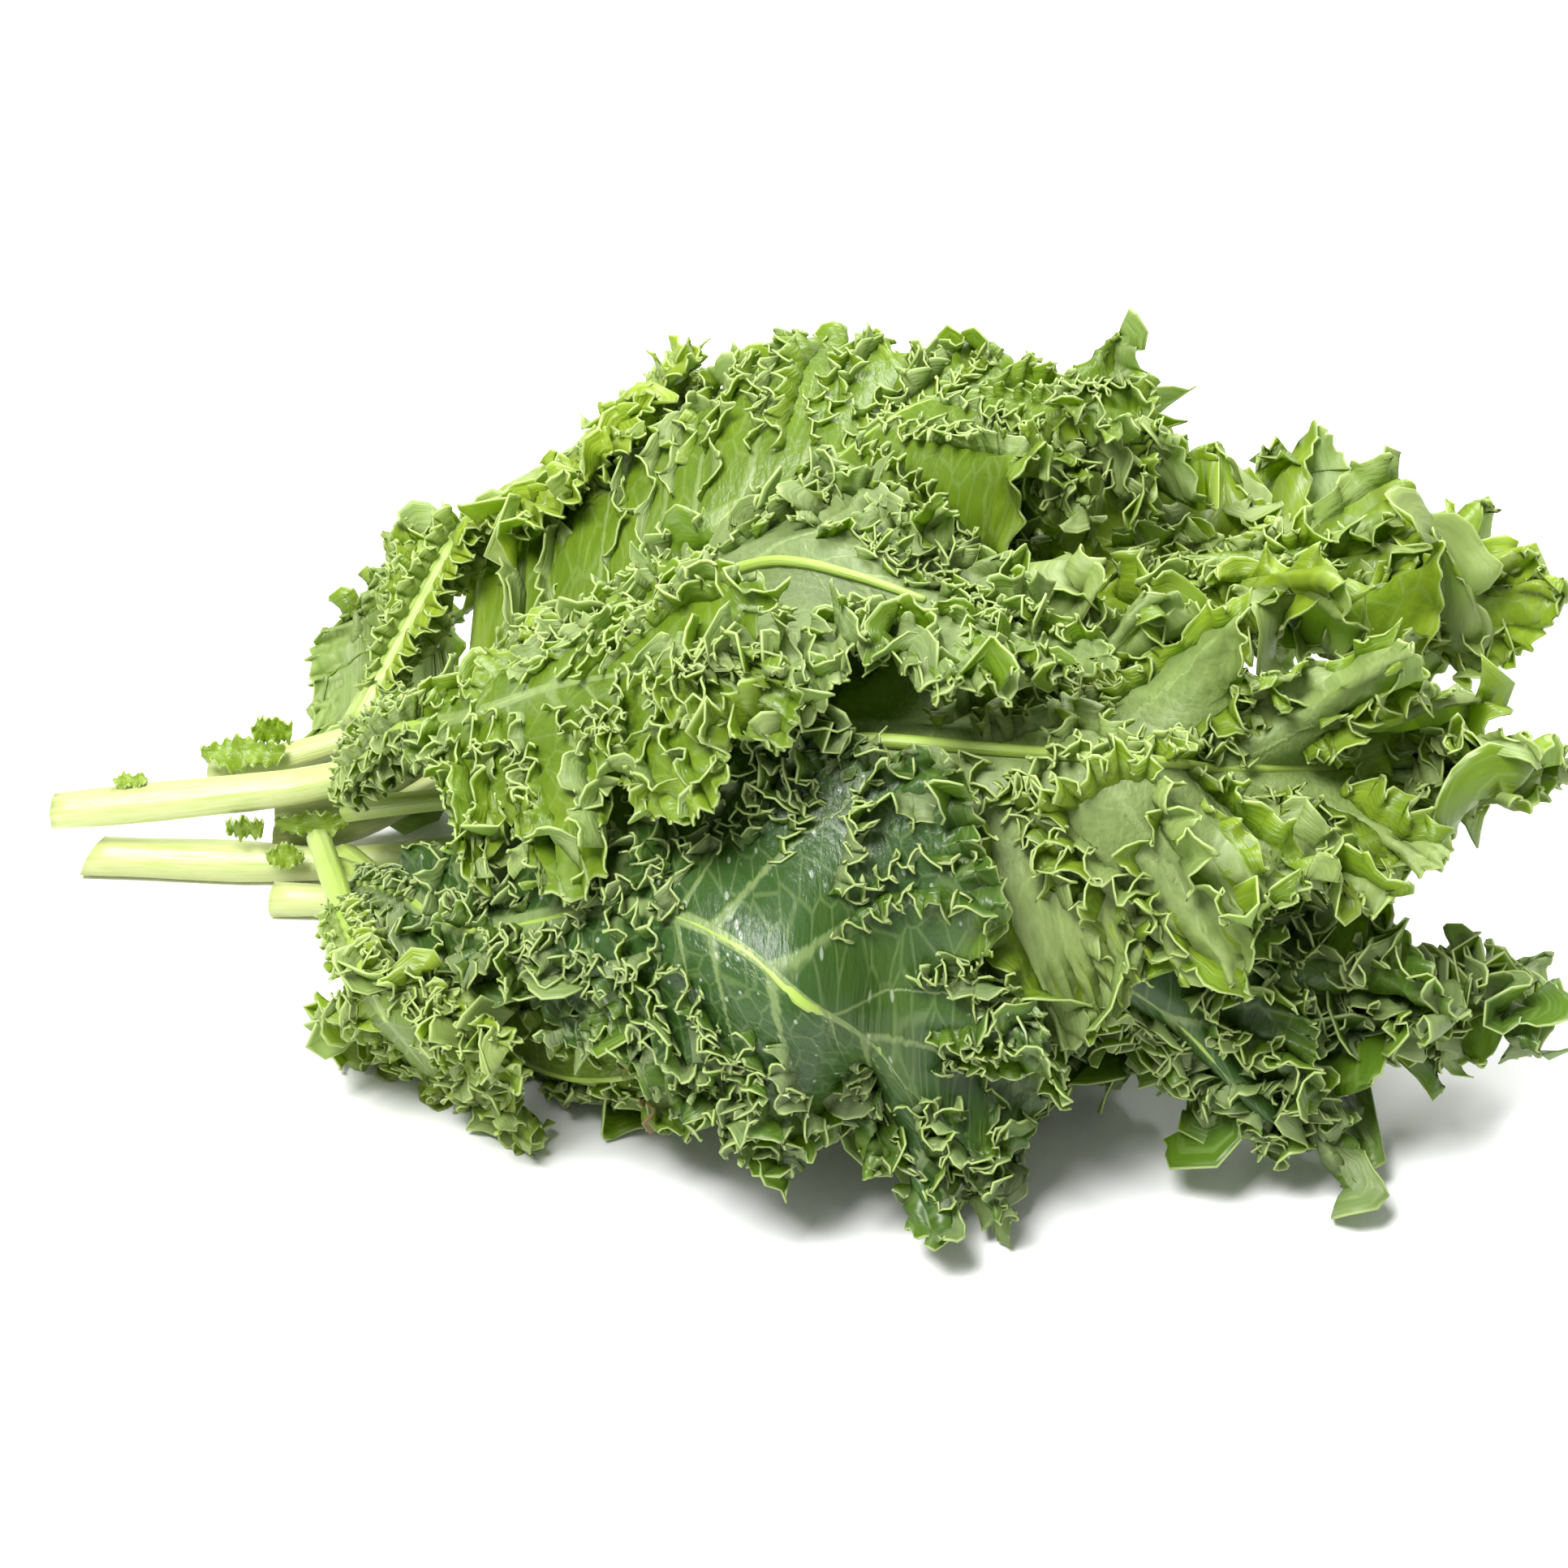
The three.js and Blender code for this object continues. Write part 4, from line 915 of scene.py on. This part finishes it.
def leaf_material(name, colours, tone, brown=0.0, wet=False):
    """A leaf: dark or fresh tissue, lighter on the ruffles as paler tissue and painted highlight, pale veins
    and net, grey underside bloom lightened further as painted sheen, pale rim, water drops with painted
    glints.
    """
    s = Shader(name)
    rim, vein, width, reach = (s.value(v) for v in ("edge", "vein", "width", "reach"))
    rim = rim.between(0.05, 0.6, 1.0, 0.0)
    ruffled, radius, under = s.value("ruffled"), s.value("radius"), s.value("under")
    inputs = {0: s.value("flat_x"), 1: s.value("flat_y"), 2: s.value("flat_z")}
    place = s.node("ShaderNodeCombineXYZ", {}, inputs)
    patches = s.noise(place, 0.045, 2.0)
    grain = s.noise(place, 0.6, 3.0)
    net_settings = dict(feature="DISTANCE_TO_EDGE")
    net = s.node("ShaderNodeTexVoronoi", net_settings, {"Vector": place, "Scale": 0.19}, output=0)
    wander = (grain - 0.5) * 0.16
    nearest = (vein + wander + 0.5).math("FRACT") - 0.5
    lateral = nearest.math("ABSOLUTE") * 24 * (width * 0.9 + 0.1)
    lateral = lateral.between(0.12, 0.5, 0.8, 0.0) * width.between(0.55, 1.0, 1.0, 0.35)
    midrib = (reach / (radius * 0.8)).between(0.75, 1.25, 1.0, 0.0)
    ribs = lateral.math("MAXIMUM", midrib)
    veins = net.between(0.015, 0.07, 0.3, 0.0).math("MAXIMUM", ribs)

    # Partly painted highlight: the ruffled margins and the frill tops are pushed towards the fresh and bright
    # colours, as paler tissue and as painted highlight on the curls.
    fresh_share = tone + (patches - 0.5) * 1.3 + ruffled * 0.4
    tissue = s.blend(fresh_share.between(0.0, 1.0), tuple(colours.dark), tuple(colours.fresh))
    tissue = s.blend(fresh_share.between(1.0, 2.1), tissue, tuple(colours.bright))
    tissue = s.blend(veins * 0.6, tissue, tuple(colours.vein))
    # The underside: its real grey bloom, lightened further as painted sheen, mixed with the veins and the
    # tissue.
    waxy_bloom_and_sheen = s.blend(veins * 0.8, tuple(colours.under), tuple(colours.vein))
    waxy_bloom_and_sheen = s.blend(0.35, waxy_bloom_and_sheen, tissue)
    colour = s.blend(under * 0.75, tissue, waxy_bloom_and_sheen)
    colour = s.blend(grain.between(0.35, 0.8, 0.0, 0.25), colour, tuple(colours.dark))
    colour = s.blend(rim * 0.72, colour, tuple(colours.rim))
    if brown:
        dry = patches.between(0.62, 0.72) * s.value("edge").between(1.0, 5.0, 1.0, 0.0)
        colour = s.blend(dry * brown, colour, tuple(colours.brown))
    rough = under.between(0.0, 1.0, 0.36, 0.5) + (grain - 0.5) * 0.25
    height = ribs * 0.4 + grain * 1.1
    if wet:
        water_and_glint_specks = s.node("ShaderNodeTexVoronoi", {}, {"Vector": place, "Scale": 0.26}, output=0)
        water_and_glint_specks = water_and_glint_specks.between(0.1, 0.16, 1.0, 0.0)
        # Painted glint: the water spots are lightened towards a pale white-green; the lower roughness below
        # is the water's real gloss.
        colour = s.blend(water_and_glint_specks * 0.4, colour, (0.8, 0.85, 0.75, 1))
        rough = rough - water_and_glint_specks * 0.25
    bump = s.node("ShaderNodeBump", {}, {"Strength": 0.6, "Distance": 0.0008, "Height": height})
    principled = s.node("ShaderNodeBsdfPrincipled", {}, {
        "Base Color": colour, "Roughness": rough, "Normal": bump, "Specular IOR Level": 0.5})
    through_light = s.node("ShaderNodeBsdfTranslucent", {}, {"Color": tuple(colours.glow), "Normal": bump})
    both = s.node("ShaderNodeMixShader", {}, {0: colours.translucency, 1: principled, 2: through_light})
    s.node("ShaderNodeOutputMaterial", {}, {"Surface": both})
    return s.material


def stem_material(name, colours):
    """A stem: pale flesh with fine length ridges, greener towards the blade, moist cut face."""
    s = Shader(name)
    cut, along, around = (s.value(v) for v in ("cut", "along", "around"))
    place = s.node("ShaderNodeCombineXYZ", {}, {
        0: along * 0.02, 1: around.math("SINE") * 2.2, 2: around.math("COSINE") * 2.2})
    streaks = s.noise(place, 3.2, 6.0)
    spots = s.noise(s.node("ShaderNodeCombineXYZ", {}, {
        0: along * 0.11, 1: around.math("SINE"), 2: around.math("COSINE")}), 1.6, 4.0)
    share = along.between(40.0, 170.0, 0.1, 1.0) + (spots - 0.5) * 0.7
    colour = s.blend(share.between(0.0, 1.0), tuple(colours.stem), tuple(colours.stem_green))
    colour = s.blend(streaks.between(0.42, 0.68, 0.0, 0.5), colour, tuple(colours.stem_green))
    flesh = s.blend(along.between(0.75, 1.0), tuple(colours.pith), tuple(colours.stem))
    colour = s.blend(cut, colour, flesh)
    bump = s.node("ShaderNodeBump", {}, {"Strength": 0.5, "Distance": 0.0005, "Height": streaks})
    principled = s.node("ShaderNodeBsdfPrincipled", {}, {
        "Base Color": colour, "Roughness": 0.34 + (spots - 0.5) * 0.2, "Normal": bump,
        "Subsurface Weight": 0.12, "Subsurface Radius": (0.004, 0.004, 0.002)})
    s.node("ShaderNodeOutputMaterial", {}, {"Surface": principled})
    return s.material


def floor_material(name):
    s = Shader(name)
    place = s.node("ShaderNodeTexCoord", {}, {}, output="Object")
    tint = s.blend(s.noise(place, 3.0) * 0.1, (0.9, 0.9, 0.9, 1), (0.86, 0.86, 0.86, 1))
    principled = s.node("ShaderNodeBsdfPrincipled", {}, {"Base Color": tint, "Roughness": 0.8})
    s.node("ShaderNodeOutputMaterial", {}, {"Surface": principled})
    return s.material


# Settings

def length_property(name, description, default):
    return FloatProperty(name=name, description=description, default=default, min=0.1, soft_max=60)


def colour_property(name, description, default):
    return FloatVectorProperty(name=name, description=description, default=default, size=4,
                               subtype="COLOR", min=0, max=1)


class KaleSizes(bpy.types.PropertyGroup):
    """Sizes of the ruffles, in millimetres."""
    ruffle: length_property("Ruffle", "Length of one ruffle along the margin, in mm", 5.8)
    ruffle_height: length_property("Ruffle height", "How far a ruffle rises, in mm", 3.3)
    curl: length_property("Curl", "Length of one fine curl along the margin, in mm", 2.4)
    curl_height: length_property("Curl height", "How far a fine curl rises, in mm", 1.15)
    frill: length_property("Frill", "Height of the frills that stand on a blade, in mm", 9.5)
    frill_pitch: length_property("Frill pitch", "From one frill to the next, in mm", 8.4)


class KaleColours(bpy.types.PropertyGroup):
    """Colours of the leaves and stems."""
    dark: colour_property("Dark", "Dark blue-green upper side", (0.035, 0.085, 0.018, 1))
    # Fresh and bright are also reached where the ruffles are lightened as painted highlight.
    fresh: colour_property("Fresh", "Mid green tissue", (0.15, 0.24, 0.014, 1))
    bright: colour_property("Bright", "Young yellow-green tissue", (0.36, 0.48, 0.035, 1))
    # A real grey bloom, lightened further as painted sheen.
    under: colour_property("Underside", "Waxy grey-green underside", (0.35, 0.42, 0.2, 1))
    vein: colour_property("Veins", "Pale veins and net", (0.4, 0.5, 0.2, 1))
    rim: colour_property("Rim", "Pale lime rim of the margin", (0.56, 0.66, 0.26, 1))
    brown: colour_property("Dried", "Dried bits of the margin", (0.2, 0.1, 0.04, 1))
    glow: colour_property("Glow", "Light that shines through a blade", (0.5, 0.72, 0.03, 1))
    stem: colour_property("Stem", "Pale stem", (0.46, 0.5, 0.21, 1))
    stem_green: colour_property("Stem streaks", "Green streaks of a stem", (0.3, 0.42, 0.07, 1))
    pith: colour_property("Pith", "Moist flesh of the cut face", (0.66, 0.7, 0.42, 1))
    translucency: FloatProperty(name="Translucency", description="Share of light that passes through",
                                default=0.34, min=0, max=1, subtype="FACTOR")


# Operators

class KALE_OT_blades(bpy.types.Operator):
    """Add the ruffled blades of all the leaves"""
    bl_idname = "kale.blades"
    bl_label = "Add Blades"

    def execute(self, context):
        sizes, colours = context.scene.kale_sizes, context.scene.kale_colours
        total = 0
        for leaf in LEAVES:
            name = leaf["name"] + "_blade"
            data = blade_mesh(leaf, laid_leaves()[leaf["name"]], sizes)
            material = leaf_material(name, colours, leaf["tone"], leaf["brown"], leaf["wet"])
            add_piece("kale_" + name, name, data, BLADE_VALUES, material)
            total += len(data[1])
        self.report({"INFO"}, f"{total} triangles in the blades")
        return {"FINISHED"}


class KALE_OT_stems(bpy.types.Operator):
    """Add the stems with their midribs"""
    bl_idname = "kale.stems"
    bl_label = "Add Stems"

    def execute(self, context):
        material = stem_material("kale_stem", context.scene.kale_colours)
        for leaf in LEAVES:
            name = leaf["name"] + "_stem"
            data = stem_mesh(leaf, laid_leaves()[leaf["name"]])
            add_piece("kale_" + name, name, data, STEM_VALUES, material)
        return {"FINISHED"}


class KALE_OT_scraps(bpy.types.Operator):
    """Add the torn scraps of leaf on the bare stems"""
    bl_idname = "kale.scraps"
    bl_label = "Add Scraps"

    def execute(self, context):
        material = leaf_material("kale_scrap", context.scene.kale_colours, 1.2)
        for number, scrap in enumerate(SCRAPS, start=1):
            name = f"scrap_{number}"
            add_piece("kale_" + name, name, scrap_mesh(scrap, number), BLADE_VALUES, material)
        return {"FINISHED"}


class KALE_OT_stage(bpy.types.Operator):
    """Add the pale floor, the soft lights and the camera"""
    bl_idname = "kale.stage"
    bl_label = "Add Stage"

    def execute(self, context):
        scene = context.scene
        mesh = bpy.data.meshes.new("floor")
        mesh.from_pydata([(-6, -6, 0), (6, -6, 0), (6, 6, 0), (-6, 6, 0)], [], [(0, 1, 2, 3)])
        mesh.materials.append(floor_material("floor"))
        floor = bpy.data.objects.new("floor", mesh)
        scene.collection.objects.link(floor)
        world = bpy.data.worlds.new("studio")
        world.use_nodes = True
        background = world.node_tree.nodes["Background"]
        background.inputs["Color"].default_value = (1, 1, 1, 1)
        background.inputs["Strength"].default_value = 0.45
        scene.world = world
        for name, place, size, power in (
            ("key", (-0.5, -0.6, 1.5), 0.7, 50),
            ("back", (0.4, 1.0, 1.3), 1.0, 40),
        ):
            light = bpy.data.lights.new(name, "AREA")
            light.size = size
            light.energy = power
            holder = bpy.data.objects.new(name, light)
            holder.location = place
            holder.rotation_euler = (Vector(place) - Vector((0, 0, 0.06))).to_track_quat("Z", "Y").to_euler()
            scene.collection.objects.link(holder)
        lens = bpy.data.cameras.new("camera")
        lens.lens = LENS
        lens.sensor_width = SENSOR
        camera = bpy.data.objects.new("camera", lens)
        distance = PIXEL * PIXELS / 2 / (SENSOR / 2 / LENS)
        target = Vector((0, math.sin(ELEVATION), math.cos(ELEVATION))) * TARGET_RISE + shift() / 1000
        away = Vector((0, -math.cos(ELEVATION), math.sin(ELEVATION)))
        camera.location = target + away * distance
        camera.rotation_euler = (math.radians(90) - ELEVATION, 0, 0)
        scene.collection.objects.link(camera)
        scene.camera = camera
        scene.view_settings.view_transform = "Standard"
        return {"FINISHED"}


class KALE_PT_panel(bpy.types.Panel):
    """The steps that build the bunch, and its settings"""
    bl_label = "Kale"
    bl_idname = "KALE_PT_panel"
    bl_space_type = "VIEW_3D"
    bl_region_type = "UI"
    bl_category = "Kale"

    def draw(self, context):
        layout = self.layout
        for group in (context.scene.kale_sizes, context.scene.kale_colours):
            for key in group.bl_rna.properties.keys():
                if key not in ("rna_type", "name"):
                    layout.prop(group, key)
        for operator in (KALE_OT_stage, KALE_OT_blades, KALE_OT_stems, KALE_OT_scraps):
            layout.operator(operator.bl_idname)


CLASSES = (KaleSizes, KaleColours, KALE_OT_blades, KALE_OT_stems, KALE_OT_scraps, KALE_OT_stage,
           KALE_PT_panel)


def register():
    for cls in CLASSES:
        bpy.utils.register_class(cls)
    bpy.types.Scene.kale_sizes = PointerProperty(type=KaleSizes)
    bpy.types.Scene.kale_colours = PointerProperty(type=KaleColours)


def unregister():
    del bpy.types.Scene.kale_colours
    del bpy.types.Scene.kale_sizes
    for cls in reversed(CLASSES):
        bpy.utils.unregister_class(cls)


def main():
    register()
    bpy.ops.kale.stage()
    bpy.ops.kale.blades()
    bpy.ops.kale.stems()
    bpy.ops.kale.scraps()


if __name__ == "__main__":
    main()
